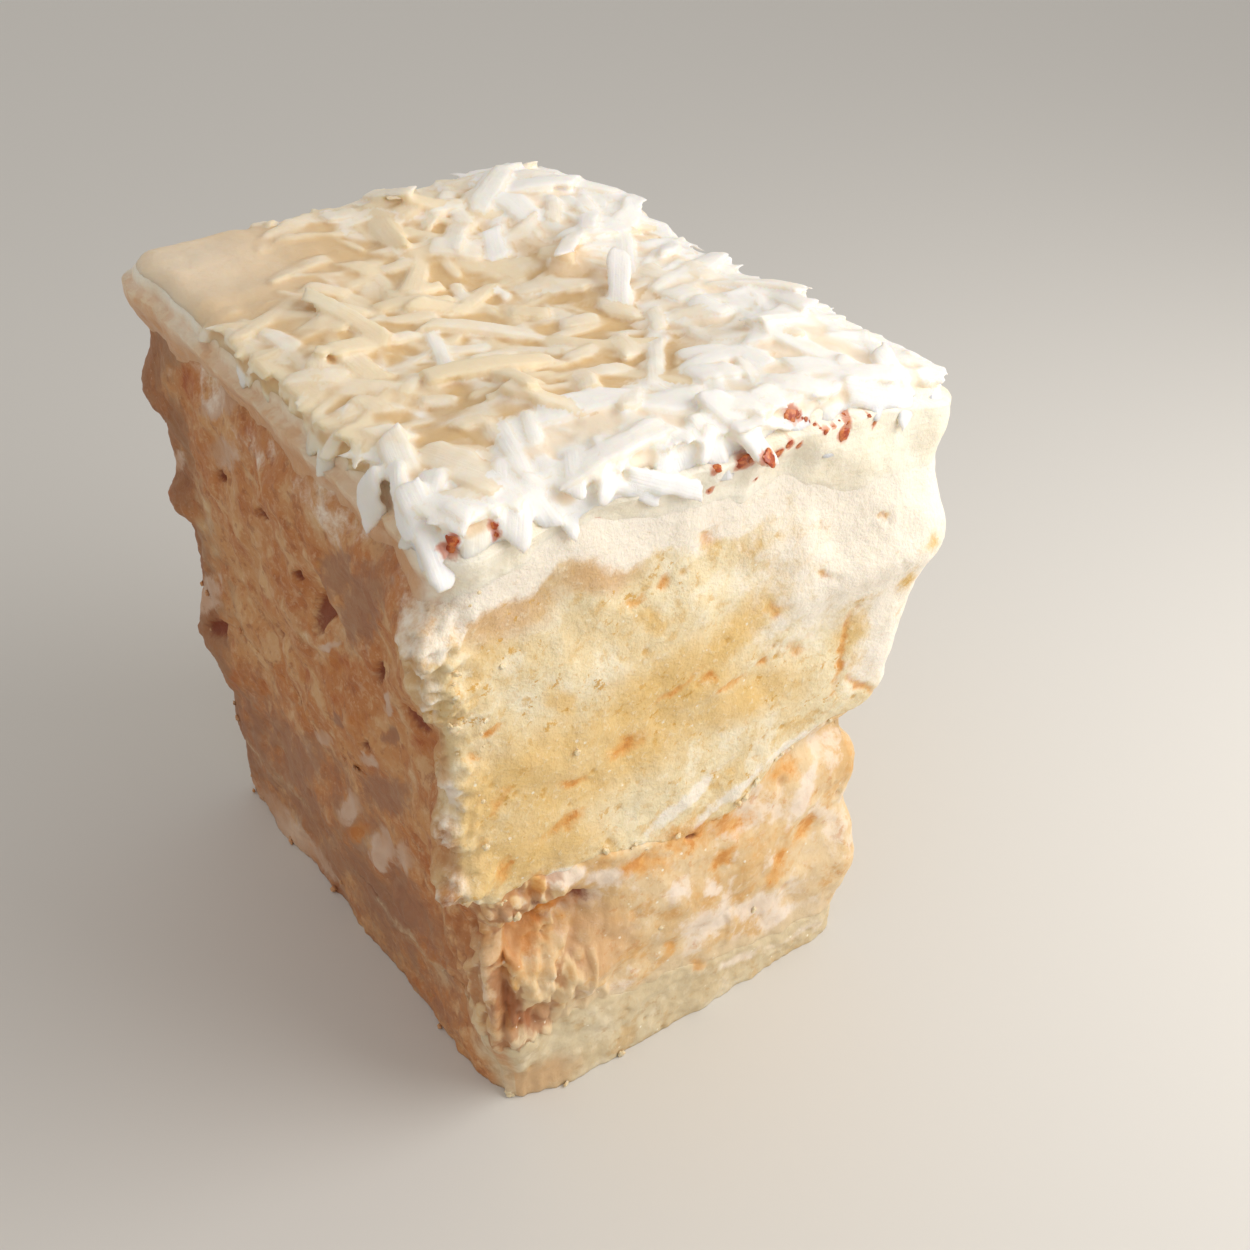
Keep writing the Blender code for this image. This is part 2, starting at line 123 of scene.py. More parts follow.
# Relief of the cut faces (mm): centre, reach along the wall and in height, how far it stands out
RELIEF = (
    (22.6, -26.6, 48.0, 12.0, 7.5, 2.6), (22.6, -26.6, 45.8, 9.0, 2.4, 1.1),
    (21.0, -26.6, 35.0, 10.0, 5.0, 1.0), (20.0, -26.6, 25.8, 9.5, 2.6, -3.0),
    (19.6, -26.6, 18.0, 9.0, 4.0, -0.8), (19.0, -26.6, 10.0, 8.0, 3.8, 0.9),
    (-22.5, -24.0, 53.0, 2.6, 1.8, 1.4), (-22.5, -24.0, 49.5, 2.2, 1.8, 0.6),
    (-22.5, -24.0, 44.5, 2.4, 1.6, -1.0), (-22.5, -24.0, 41.5, 2.2, 1.6, 0.5),
    (-22.5, -24.0, 36.0, 2.4, 1.8, 1.0), (-22.5, -24.0, 33.0, 2.4, 1.2, -0.7),
    (-22.0, -24.0, 30.2, 2.6, 1.6, 1.4), (-16.2, -26.2, 21.0, 4.8, 2.6, -3.4),
    (-12.0, -26.2, 15.0, 4.0, 3.4, 1.2), (-19.5, -26.2, 11.0, 3.0, 4.0, 1.0),
    (1.0, -26.2, 16.0, 10.0, 5.0, 0.8), (-19.6, -26.2, 0.0, 3.4, 3.0, -0.9),
    (-22.0, -14.0, 41.0, 7.0, 13.0, -1.6), (-22.0, -20.5, 40.5, 2.6, 5.0, -1.4),
    (-21.5, -5.5, 44.2, 3.0, 3.4, -1.2), (-21.5, 8.0, 33.0, 7.0, 4.0, -0.8),
    (-21.5, 0.0, 14.0, 8.0, 5.0, 0.8), (-21.8, 26.2, 22.5, 10.0, 6.5, 1.5),
    (-21.6, 26.4, 38.0, 4.0, 2.0, 2.0), (-21.4, 26.6, 50.5, 6.0, 2.6, 1.6),
    (22.2, 6.0, 60.0, 11.0, 6.0, -1.2), (20.5, 4.0, 25.0, 12.0, 3.0, -1.8),
    (21.0, 12.0, 42.0, 10.0, 8.0, 1.2), (5.0, 27.0, 22.0, 11.0, 5.0, 1.3),
    (-6.0, 27.2, 40.0, 8.0, 6.0, -0.9),
)
# Size and height of its lumps
RELIEF_NOISE = ((0.0060, 0.00060), (0.0026, 0.00022))

# The finer mesh --------------------------------------------------------------------------------

SIDE_COLUMNS = (176, 128, 104, 208)  # front, right, back, left
BAND_ROWS = 24  # of the cream down over the sponge
SHOULDER_ROWS = 12  # round its edge
CROWN_ROWS = 40  # and over its top
OVERLAP = 0.00025  # of one layer behind the next
TURNED_IN = 0.00022  # how near the line between two layers their edges turn in
TURN_DEPTH = 0.00024  # and by how much
FOOT_TURN_DEPTH = 0.00008  # the same for the lower sponge

# Marks on the cut faces, by face and kind: along the face, height and two half widths (mm), and
# tilt (degrees)
MARKS = {
    ("front", "tan"): (
        (-16.8, 55.2, 4.3, 3.3, -13), (-9.0, 54.4, 3.6, 1.8, -23), (1.3, 54.7, 1.9, 1.0, -33),
        # The tan patch at the lower sponge's front left foot, at -17.8 and 2.0, is painted shade
        (-21.5, 56.6, 1.4, 0.8, -52), (-17.8, 2.0, 4.5, 2.6, 0), (-10.0, 17.0, 3.0, 4.0, 20),
    ),
    ("front", "gold"): (
        (-12.4, 44.2, 2.2, 0.8, -56), (-1.1, 40.0, 4.1, 2.2, 9), (-5.8, 37.2, 4.7, 3.1, 13),
        (3.9, 36.6, 5.5, 2.0, -2), (-13.1, 35.9, 5.9, 3.0, -13), (-18.6, 31.7, 3.7, 2.9, -59),
        (-15.0, 39.4, 6.0, 3.4, 10), (-19.6, 38.0, 4.4, 2.0, 80), (-6.0, 41.0, 7.0, 3.0, 20),
        (3.0, 44.0, 5.0, 1.8, 35), (-4.6, 48.1, 1.8, 0.7, -53), (-15.5, 31.5, 6.0, 3.2, -30),
        (5.6, 45.1, 1.2, 0.6, 30), (0.3, 53.2, 1.3, 0.7, -30), (19.2, 43.4, 1.0, 1.8, 10),
        (20.6, 47.0, 0.8, 1.2, 10), (14.8, 39.4, 1.5, 2.4, 10),
    ),
    ("front", "orange"): (
        (-18.2, 44.4, 0.5, 0.4, 0), (0.5, 53.6, 0.7, 0.5, -41), (6.5, 44.7, 0.9, 0.6, -37),
        (9.3, 39.3, 0.8, 0.6, -49), (6.0, 39.4, 0.5, 0.3, -40), (-3.5, 51.1, 0.6, 0.4, -39),
        (-6.2, 50.6, 0.7, 0.5, -18), (0.3, 40.6, 0.8, 0.4, -22), (2.8, 38.8, 1.1, 0.4, -5),
        (-2.4, 40.8, 2.0, 0.4, 26), (14.0, 37.1, 3.9, 0.4, 86), (17.2, 31.9, 3.2, 0.4, -42),
        (-6.9, 37.1, 1.3, 0.9, 1), (-11.7, 35.9, 1.3, 0.4, -25), (-18.1, 37.7, 0.9, 0.7, 28),
        (-19.9, 42.8, 0.4, 0.3, -49), (-18.6, 30.3, 1.1, 0.7, 75), (-13.1, 32.3, 1.7, 0.6, 9),
        (-15.6, 27.0, 1.2, 0.8, 78), (-1.2, 24.2, 2.6, 1.5, -20), (3.0, 22.9, 2.6, 1.1, -22),
        (-5.8, 23.6, 2.6, 1.1, -15), (9.9, 25.0, 1.8, 1.1, -20), (12.6, 16.6, 1.5, 1.1, 40),
        (2.6, 19.6, 1.1, 0.8, 20), (10.6, 47.0, 0.7, 0.4, -30), (15.8, 50.6, 0.5, 0.4, -30),
        (9.0, 14.3, 1.9, 1.0, 62), (3.1, 18.8, 0.7, 0.4, -58), (-3.0, 11.6, 0.9, 0.6, -63),
        (0.3, 7.0, 1.4, 0.6, -48), (-17.0, 20.4, 4.0, 2.6, 15),
    ),
    ("front", "amber"): (
        (-17.2, 20.3, 2.9, 1.9, 20), (-13.6, 22.0, 2.6, 0.9, -20),
    ),
    ("front", "rust"): (
        (-0.8, 23.6, 0.6, 0.3, -25), (-13.2, 23.0, 3.0, 0.9, -25), (-18.4, 22.0, 1.4, 0.4, 20),
    ),
    # Brown pockets at the front left corner, sunk in a little; their brown is painted shade
    ("front", "brown"): (
        (-20.6, 20.0, 1.8, 1.0, 60), (-19.0, 14.2, 4.2, 1.0, -58), (-20.6, 17.8, 1.1, 0.5, 70),
        (-20.3, 12.2, 0.9, 0.4, 70),
    ),
    ("front", "pale"): (
        (-1.7, 28.3, 4.3, 0.9, 24), (3.4, 26.6, 3.8, 0.8, 23), (9.8, 28.2, 3.4, 0.8, 6),
        (12.0, 21.3, 2.9, 1.1, 55), (1.0, 12.4, 3.2, 2.0, -20), (7.2, 10.4, 3.6, 1.5, -20),
        (5.8, 4.6, 2.6, 1.4, -10), (12.6, 4.2, 4.6, 2.2, -10), (-13.0, 26.4, 1.9, 0.9, -22),
        (-9.6, 24.2, 1.7, 1.0, -40), (-2.6, 19.0, 1.2, 0.5, -43), (1.2, 16.8, 1.3, 0.7, -45),
        (10.2, 6.7, 3.1, 1.4, -28), (-5.6, 57.3, 2.5, 1.3, -17), (-18.8, 56.0, 2.9, 0.6, 58),
        (19.1, 34.8, 4.6, 1.4, -67), (-23.7, 51.2, 1.3, 0.9, -47), (-22.9, 46.4, 2.0, 0.8, 89),
        (-21.6, 39.6, 1.3, 0.7, -86), (-22.9, 34.1, 1.8, 0.7, 87), (-22.0, 27.8, 1.6, 0.9, -15),
    ),
    ("left", "orange"): (
        (8.8, 36.5, 1.6, 0.5, -26), (1.5, 32.7, 1.5, 0.7, -43), (19.8, 19.9, 3.0, 0.6, -48),
        (14.6, 22.0, 1.3, 0.6, -53), (-6.2, 35.7, 1.6, 0.4, -37), (-5.9, 38.9, 4.0, 0.8, -35),
        (-9.0, 34.9, 2.0, 0.9, -62), (-3.5, 17.3, 2.0, 0.7, -48), (27.0, 37.5, 1.6, 0.9, -32),
        (-19.4, 40.4, 2.4, 0.9, -44), (16.4, 54.6, 2.5, 1.2, -41), (-20.5, 28.4, 1.0, 0.4, -43),
    ),
    ("left", "rust"): (
        (-4.3, 43.2, 2.5, 0.9, -66), (22.2, 24.9, 2.4, 0.9, -37), (7.5, 33.7, 1.6, 0.9, -41),
        (13.0, 47.1, 1.2, 0.5, -32), (3.9, 48.2, 1.3, 0.5, -26), (-1.8, 45.6, 0.8, 0.3, -35),
        (-13.5, 43.1, 1.6, 0.5, -60), (-18.1, 41.9, 1.6, 1.1, -11), (-21.6, 39.5, 1.6, 0.7, -47),
        (-9.9, 33.2, 0.9, 0.4, -42),
    ),
    # Purplish brown patches on the left face: cream smears, coloured as they look in shade, which
    # is painted shade
    ("left", "mauve"): (
        (-13.0, 49.3, 8.0, 2.1, -52), (-9.9, 50.4, 4.5, 1.5, -44), (-10.5, 27.9, 7.5, 2.0, -42),
        (9.8, 15.2, 10.0, 3.0, -46), (-13.5, 36.7, 1.3, 0.8, -48), (15.6, 14.7, 2.4, 0.9, -47),
        (-5.1, 32.7, 2.0, 0.6, -41), (6.1, 4.9, 8.2, 2.6, -51),
    ),
    ("left", "pale"): (
        (23.3, 28.4, 4.5, 1.6, -42), (-1.9, 19.1, 3.0, 1.1, -56), (-9.4, 31.1, 2.2, 0.7, -37),
        (-5.3, 40.5, 1.9, 0.3, -38), (-13.9, 40.2, 2.1, 0.5, -60), (1.5, 25.1, 2.4, 0.9, -44),
        (10.2, 50.8, 4.2, 1.3, -32), (9.8, 55.7, 5.2, 1.0, -34), (-11.8, 20.8, 2.4, 1.1, -60),
        (-7.7, 18.4, 3.4, 1.5, -58), (16.5, 1.6, 10.0, 2.4, -6), (24.5, 42.9, 2.0, 0.8, -32),
    ),
}
# How far the face stands out under each kind of mark, and how softly the mark fades out, as a
# share of its size
MARK_KINDS = {
    "tan": (-0.00005, 0.75),
    "gold": (-0.00005, 0.98),
    "orange": (-0.00016, 0.95),
    "amber": (-0.00030, 0.60),
    "rust": (-0.00080, 0.50),
    "brown": (-0.00050, 0.70),
    "mauve": (-0.00010, 0.70),
    "pale": (0.00006, 0.80),
}
HIDDEN_MARKS = 46  # more of them, scattered over the faces that the photograph doesn't show
HIDDEN_SEED = 3

STRANDS = 78  # of coconut in the filling
CORNER_STRANDS = 34  # of those, at the front corner
STRAND_SEED = 11
# A strand's height on the wall, length, width and how far it stands out
CORNER_STRAND = ((0.001, 0.020), (0.0030, 0.0070), (0.0008, 0.0016), (0.00025, 0.00065))
OTHER_STRAND = ((0.007, 0.026), (0.0025, 0.0060), (0.0007, 0.0013), (0.00008, 0.00024))

# Coconut shreds that stand out: both ends, width and bow (mm), and whiteness
NAMED_SHREDS = (
    (-20.8, -15.4, 61.8, -21.6, -17.6, 58.9, 2.2, 0.4, 0.9),
    (-19.2, -16.5, 62.8, -21.7, -22.8, 60.6, 1.3, 0.4, 0.9),
    (-15.7, -11.4, 63.1, -13.6, -9.3, 64.2, 1.0, 0.0, 0.7),
    (-14.4, -11.1, 62.6, -12.4, -12.8, 62.5, 1.5, 0.0, 0.7),
    (-18.7, -12.2, 62.3, -17.5, -15.1, 62.3, 2.0, 0.0, 0.6),
    (-9.0, -2.7, 62.9, -11.1, -9.3, 62.7, 1.2, 0.0, 0.8),
    (-15.5, -1.1, 62.1, -14.9, -5.8, 62.1, 2.2, 0.3, 0.5),
    (-17.3, -16.2, 62.2, -15.0, -23.3, 62.3, 3.2, 0.3, 0.5),
    (-14.3, -15.8, 62.8, -12.3, -16.4, 62.8, 1.3, 0.0, 0.7),
    (-12.3, -16.4, 62.8, -12.9, -19.0, 62.9, 0.8, 0.0, 0.7),
    (-11.8, -17.3, 62.7, -13.8, -23.9, 62.8, 1.3, 0.1, 0.9),
    (-9.3, -17.9, 63.1, -2.4, -19.6, 63.3, 3.0, 0.2, 1.0),
    (-7.9, -20.4, 62.9, -11.1, -25.6, 60.8, 1.6, 1.0, 1.0),
    (-6.3, -21.0, 62.8, -9.2, -25.7, 60.6, 1.6, 1.0, 1.0),
    (-9.4, -16.9, 62.5, -11.1, -20.8, 62.6, 1.0, 0.0, 0.9),
    (-18.8, -21.9, 62.2, -18.2, -24.4, 61.3, 1.4, 0.3, 0.8),
    (4.5, -12.8, 62.3, -0.3, -19.4, 63.0, 1.3, 0.2, 0.9),
    (-2.8, -21.1, 63.1, 1.3, -22.7, 63.2, 3.2, 0.1, 1.0),
    (1.5, -23.1, 63.3, 4.5, -25.2, 62.3, 2.5, 0.3, 1.0),
    (0.7, -24.3, 62.5, -1.1, -25.8, 60.4, 1.1, 0.2, 1.0),
    (-5.1, -24.2, 62.5, -2.4, -24.2, 62.7, 0.9, 0.0, 1.0),
    (-6.7, -25.1, 61.4, -1.0, -25.9, 58.2, 1.6, 0.3, 1.0),
    (-8.0, -25.1, 61.1, -4.5, -25.6, 58.7, 1.0, 0.2, 1.0),
    (5.8, -22.5, 63.5, 10.4, -25.9, 62.0, 2.4, 0.6, 1.0),
    (2.1, -25.1, 61.6, 4.6, -25.4, 61.3, 1.3, 0.0, 1.0),
    (8.6, -22.9, 63.7, 13.3, -26.2, 63.0, 2.6, 0.1, 1.0),
    (17.2, -22.4, 63.0, 15.1, -26.0, 62.6, 1.5, 0.2, 1.0),
    (9.0, -26.2, 59.7, 11.6, -26.3, 55.8, 1.4, 0.0, 1.0),
    (12.4, -25.2, 61.9, 16.7, -26.1, 60.0, 2.2, 0.1, 1.0),
    (16.5, -4.0, 62.3, 17.6, -6.0, 61.6, 1.6, 0.1, 0.8),
    (12.2, 2.6, 64.6, 8.0, -3.9, 62.2, 1.8, 0.0, 0.9),
    (11.5, 12.4, 64.2, 9.2, 8.6, 62.8, 1.4, -0.2, 0.8),
    (9.2, 7.2, 62.3, 13.2, 6.8, 62.8, 2.3, 0.1, 0.8),
    (4.0, 2.3, 61.1, 7.4, -0.2, 61.4, 2.2, 0.1, 0.5),
    (14.3, -2.6, 62.2, 15.1, -6.3, 62.2, 2.8, 0.2, 0.8),
    (11.6, -0.5, 61.9, 12.2, -4.2, 62.1, 2.3, 0.1, 0.6),
    (9.7, -7.5, 62.3, 12.4, -7.3, 62.5, 2.4, 0.1, 0.9),
    (10.9, -8.6, 62.2, 11.8, -12.2, 62.5, 2.1, 0.1, 0.8),
    (8.0, -7.5, 61.9, 6.1, -11.3, 62.1, 1.3, 0.0, 0.8),
    (3.5, -8.9, 61.6, 2.2, -13.1, 61.9, 1.8, 0.1, 0.7),
    (8.5, -12.7, 62.3, 8.1, -16.1, 62.6, 2.1, 0.1, 0.9),
    (13.6, 11.5, 63.8, 12.6, 8.1, 63.2, 1.8, 0.1, 0.8),
    (10.2, -16.4, 62.6, 12.9, -17.5, 62.7, 2.0, 0.1, 0.9),
    (14.4, -9.2, 62.2, 14.4, -12.2, 62.2, 2.0, 0.1, 0.8),
    (7.7, 14.3, 64.1, 7.7, 9.3, 63.0, 2.8, 0.1, 1.0),
    (4.9, 12.0, 62.5, 2.9, 7.3, 61.7, 1.8, -0.1, 1.0),
    (-0.6, 13.0, 61.9, 2.8, 10.0, 61.7, 2.8, 0.1, 0.9),
    (-1.9, 17.8, 62.2, -0.4, 14.4, 62.0, 2.6, 0.1, 0.7),
    (-5.7, 22.9, 62.3, -2.7, 21.9, 62.3, 2.2, 0.0, 0.7),
    (-5.4, -0.1, 61.9, -0.2, 3.5, 61.9, 1.4, -0.1, 0.8),
    (-0.2, 3.5, 61.8, 0.1, 1.1, 61.5, 1.0, 0.0, 0.8),
    (-2.1, 6.4, 61.2, -2.7, 2.2, 61.3, 1.1, 0.0, 0.6),
    (-13.0, 11.3, 62.2, -10.3, 8.9, 61.9, 1.7, 0.1, 0.5),
    (-14.0, 8.6, 62.2, -10.3, 5.0, 61.8, 1.4, 0.1, 0.5),
    (-9.4, 6.0, 61.7, -4.3, 4.9, 61.2, 1.6, 0.1, 0.5),
    (-6.3, 6.4, 61.5, -2.6, 7.3, 61.3, 1.3, 0.0, 0.5),
    (-5.9, 11.7, 61.7, -2.8, 11.6, 61.5, 1.5, 0.1, 0.5),
    (-7.9, 13.8, 62.0, -6.4, 11.0, 61.7, 2.0, 0.1, 0.5),
    (-15.4, 4.8, 62.2, -12.5, 3.3, 62.0, 2.3, 0.1, 0.6),
    (-9.9, 3.1, 61.7, -5.9, 2.1, 61.3, 1.5, 0.0, 0.5),
    (-12.0, -1.0, 62.1, -9.1, -0.7, 61.9, 1.4, 0.0, 0.7),
    (1.8, 3.3, 61.0, 5.4, 1.8, 61.2, 1.9, 0.1, 0.5),
    (-0.3, 0.2, 60.9, 1.8, -2.2, 61.0, 2.0, 0.0, 0.5),
    (-18.9, 5.7, 62.3, -17.9, 1.2, 62.3, 1.7, 0.1, 0.5),
    (-20.3, -1.6, 61.9, -16.5, -3.9, 62.2, 2.0, 0.2, 0.5),
    (-18.0, -8.1, 62.6, -17.0, -11.3, 62.6, 1.4, 0.1, 0.7),
    (-14.2, 20.5, 62.9, -12.7, 18.1, 62.6, 1.7, 0.1, 0.5),
    (-20.2, 13.7, 62.3, -18.2, 15.1, 62.5, 1.3, 0.1, 0.5),
    (-3.1, -11.4, 62.0, 1.2, -10.1, 61.8, 1.7, 0.1, 0.6),
    (-2.3, -14.1, 62.1, 1.0, -14.5, 62.1, 1.9, 0.1, 0.7),
    (-4.2, -7.5, 61.4, -3.0, -11.1, 61.6, 1.8, 0.1, 0.4),
    (-8.3, -7.1, 61.7, -3.4, -6.1, 61.3, 1.8, 0.1, 0.4),
    (4.2, -16.2, 62.7, 7.7, -17.7, 62.9, 2.1, 0.1, 0.9),
    (7.8, -17.5, 62.8, 8.4, -21.4, 63.1, 1.8, 0.1, 0.9),
    (2.7, -19.4, 62.9, 6.2, -20.7, 63.0, 2.2, 0.1, 1.0),
    (-11.7, 14.6, 62.4, -8.8, 15.1, 62.2, 1.8, 0.1, 0.6),
    (2.0, 18.1, 62.7, 5.4, 17.7, 63.1, 2.2, 0.1, 0.8),
    (6.9, 18.8, 63.7, 5.5, 14.9, 63.0, 1.4, 0.1, 0.8),
    (0.2, 20.2, 62.5, 3.2, 20.3, 62.7, 1.9, 0.1, 0.7),
    (1.3, -4.5, 61.1, 4.4, -5.4, 61.3, 2.0, 0.1, 0.5),
    (5.6, -3.7, 61.3, 7.0, -7.3, 61.6, 2.0, 0.1, 0.6),
    (7.3, 7.9, 61.8, 8.6, 4.5, 61.6, 1.9, 0.1, 0.6),
)
NAMED_THICKNESS = 0.0006
NAMED_DEPTH = -0.00025  # they lie on the others
LEVEL_SHRED = 60.7  # mm: lower ends than this hang over the edge
UNDER_SPACING = 0.0018  # of the smaller shreds that lie half sunk in the cream
# Least and most length, width and thickness
UNDER_SIZE = ((0.0034, 0.0078), (0.0009, 0.0020), (0.0003, 0.0006))
UNDER_EDGE_SHREDS = 90
UNDER_EDGE_LENGTH = (0.0030, 0.0060)
UNDER_EDGE_FORM = (0.0006, 0.0005)  # thickness and bow
UNDER_SEED = 7  # of all draws that the solid doesn't share
# The smooth back left corner: its middle and reach, for each kind of shred and for the cream
BARE_OF_TOP_SHREDS = ((-0.017, 0.020), (0.0075, 0.0110))
BARE_OF_UNDER_SHREDS = ((-0.018, 0.021), (0.0080, 0.0110))
BARE_OF_ENDS = ((-0.0215, 0.0250), (0.0090, 0.0110))
BARE_CREAM = ((-0.0185, 0.0215), (0.0090, 0.0110))
# Rings of points along a shred, in lengths
SHRED_ROWS = (-0.5, -0.475, -0.40, -0.25, -0.08, 0.08, 0.25, 0.40, 0.475, 0.5)
# Round the cut across a shred: aside in half widths, and up in half thicknesses
SHRED_SECTION = ((1.0, -0.6), (1.0, 0.3), (0.72, 1.0), (-0.72, 1.0), (-1.0, 0.3), (-1.0, -0.6))
# The cream between the shreds: how far the heap's tops are smoothed into it, and how far it
# stands below them. What rises above it has sunk in by a share of its height.
CREAM_BLUR = 0.0016
CREAM_DEPTH = 0.00005
SUNK = 0.35
FUSE_CELL = 0.00024  # of the voxels that fuse the shreds
SKIN_SMOOTHING = 2  # of the skin round the shreds and the cream that holds them
SKIN_FLOOR = 0.0575  # where that skin ends, inside the cream
HOLDER_INSET = 0.93  # its foot there, as a share of its rim
CLEAR_OF_CREAM = 0.00050  # a shred that stands this far out has no cream over it

TORN_EDGE_CRUMBS = 60  # tried along the torn front edge
EDGE_CRUMBS = 36  # along the other upright edges
SEAM_CRUMBS = 45  # where the sponge lies on the filling
FACE_CRUMBS = 16
FOOT_CRUMBS = 10
LUMP_DETAIL = 3  # how often each crumb's and speck's ball is divided

# Syrup: place and radius (mm)
SYRUP = (
    (-20.2, -25.0, 60.7, 0.55), (-20.0, -25.1, 61.3, 0.4), (-17.0, -25.1, 61.3, 0.3),
    (-17.0, -25.3, 60.7, 0.25), (6.3, -26.3, 62.2, 0.5), (6.6, -26.3, 62.0, 0.14),
    (7.4, -26.3, 61.5, 0.13), (8.1, -26.3, 61.0, 0.13), (9.2, -26.3, 60.1, 0.13),
    (10.4, -26.4, 59.9, 0.13), (10.9, -26.4, 60.2, 0.13), (7.0, -26.3, 61.8, 0.22),
    (7.7, -26.3, 61.3, 0.18), (8.6, -26.3, 60.6, 0.18), (9.8, -26.3, 59.6, 0.22),
    (11.5, -26.4, 58.9, 0.5), (11.3, -26.4, 60.6, 0.16), (11.8, -26.4, 59.7, 0.18),
    (4.5, -26.4, 59.3, 0.62), (5.3, -26.4, 59.4, 0.4), (6.3, -26.4, 59.8, 0.36),
    (7.2, -26.4, 59.4, 0.25), (2.2, -26.3, 59.8, 0.6), (2.9, -26.3, 59.6, 0.3),
    (0.0, -26.2, 60.0, 0.32), (-0.6, -26.2, 58.4, 0.2), (3.4, -26.4, 58.0, 0.2),
    (13.9, -26.4, 59.6, 0.18), (14.5, -26.4, 58.8, 0.18), (-9.8, -25.9, 59.2, 0.22),
)

# Tones of the cut faces, 0 to 255: of the lower sponge, the filling and the upper sponge
CUT_TONES = {
    "pale": ((218, 202, 168), (231, 205, 163), (240, 224, 186)),
    "deep": ((208, 187, 148), (219, 181, 126), (232, 207, 158)),
    "light": ((229, 214, 184), (241, 224, 204), (246, 235, 208)),
    "rich": ((203, 171, 122), (219, 168, 100), (224, 188, 124)),
    "pore": ((190, 150, 96), (206, 138, 74), (212, 162, 72)),
    "fading": ((218, 199, 162), (224, 200, 162), (253, 243, 228)),
    "smear": ((239, 224, 206), (243, 228, 212), (249, 242, 230)),
}


def smooth_step(low, high, value):
    """0 below low, 1 above high."""
    share = np.clip((value - low) / (high - low), 0.0, 1.0)
    return share * share * (3.0 - 2.0 * share)


def bump(x, y, centre, reach):
    """1 at the centre, falling off over the reach."""
    return np.exp(-(((x - centre[0]) / reach[0]) ** 2) - ((y - centre[1]) / reach[1]) ** 2)


def at_points(function, x, y, z, size):
    """A mathutils noise function at each point, over lumps of a size."""
    x, y, z = np.broadcast_arrays(x, y, z)
    points = np.stack([x, y, z], -1).reshape(-1, 3) / size
    values = np.array([function(p) for p in points.tolist()])
    return values.reshape(x.shape)


def lumps(x, y, z, size):
    """Noise from about -1 to 1, in lumps of a size."""
    return at_points(noise.noise, x, y, z, size)


def nearest_grain(point):
    """Distance to the nearest of the scattered grains, and a number from 0 to 1 for that grain."""
    distances, centres = noise.voronoi(point)
    cell = centres[0]
    number = math.sin(cell.x * 12.99 + cell.y * 78.23 + cell.z * 37.72) * 43758.5
    return complex(distances[0], number - math.floor(number))


def grains(x, y, z, size):
    """Distance to the nearest grain, in grains, and that grain's own number."""
    found = at_points(nearest_grain, x, y, z, size)
    return found.real, found.imag


# Outline and relief ----------------------------------------------------------------------------


def rounded_square(share):
    """Point and outward normal at a share of the way round a square of half side 1."""
    straight = 2.0 * (1.0 - CORNER_ROUND)
    arc = math.pi / 2.0 * CORNER_ROUND
    side, along = divmod(share * 4.0, 1.0)
    along *= straight + arc
    if along < straight:
        point = Vector((along - straight / 2.0, -1.0))
        normal = Vector((0.0, -1.0))
    else:
        turn = (along - straight) / CORNER_ROUND
        normal = Vector((math.sin(turn), -math.cos(turn)))
        point = Vector((1.0 - CORNER_ROUND, CORNER_ROUND - 1.0)) + CORNER_ROUND * normal
    for _ in range(int(side) % 4):
        point = Vector((-point.y, point.x))
        normal = Vector((-normal.y, normal.x))
    return point, normal


def corners_at(z):
    """Front left, front right, back right and back left corner at each height."""
    share = np.asarray(z)[..., None, None] / CROWN_HEIGHT
    corners = np.array(FOOT) * (1.0 - share) + np.array(CROWN) * share
    corners[..., 0, 0] -= LIP * smooth_step(0.024, 0.030, z) * smooth_step(0.058, 0.053, z)
    return corners


def spread_over(corners, u, v):
    """Where the square's point (u, v) lies between four corners."""
    u = np.asarray((u + 1.0) / 2.0)[..., None]
    v = np.asarray((v + 1.0) / 2.0)[..., None]
    front = corners[..., 0, :] * (1.0 - u) + corners[..., 1, :] * u
    back = corners[..., 3, :] * (1.0 - u) + corners[..., 2, :] * u
    return front * (1.0 - v) + back * v


def relief(x, y, z):
    """How far the wall stands out from its plane at a point."""
    out = np.zeros(np.shape(x))
    for row in RELIEF:
        cx, cy, cz, reach, rise, height = (value * MM for value in row)
        flat = ((x - cx) ** 2 + (y - cy) ** 2) / reach**2
        out += np.where(flat < 9.0, height * np.exp(-flat - ((z - cz) / rise) ** 2), 0.0)
    for size, height in RELIEF_NOISE:
        out += height * lumps(x, y, z, size)
    return out


def wall(shares, z):
    """Points of the cut faces at shares of the way round, and the walls' outward normals."""
    outline = [rounded_square(share) for share in np.ravel(shares)]
    u = np.array([point.x for point, _ in outline]).reshape(np.shape(shares))
    v = np.array([point.y for point, _ in outline]).reshape(np.shape(shares))
    normal = np.array([tuple(n) for _, n in outline]).reshape(np.shape(shares) + (2,))
    normal = np.broadcast_to(normal, np.shape(z) + (2,))
    flat = spread_over(corners_at(z), u, v)
    out = relief(flat[..., 0], flat[..., 1], z)
    flat = flat + normal * out[..., None]
    zero = np.zeros(np.shape(z) + (1,))
    points = np.concatenate([flat, np.asarray(z)[..., None]], -1)
    return points, np.concatenate([normal, zero], -1)


def base(x, y):
    """The cake's flat foot."""
    return np.zeros(np.shape(x))


def lower_sponge_top(x, y):
    """The lower sponge's top, low at the front right."""
    wedge = smooth_step(-0.016, 0.018, x) * smooth_step(-0.004, -0.024, y)
    return LOWER_SPONGE_HEIGHT - 0.0052 * wedge + 0.0010 * lumps(x, y, 0.1, 0.007)


def filling_top(x, y):
    """The filling's top, dipped halfway along the front and raised to the right of that."""
    dip = bump(x, y, (-0.0005, -0.026), (0.0075, 0.010))
    rise = bump(x, y, (0.0155, -0.026), (0.0045, 0.008))
    return FILLING_HEIGHT - 0.0034 * dip + 0.0012 * rise + 0.0008 * lumps(x, y, 0.2, 0.006)


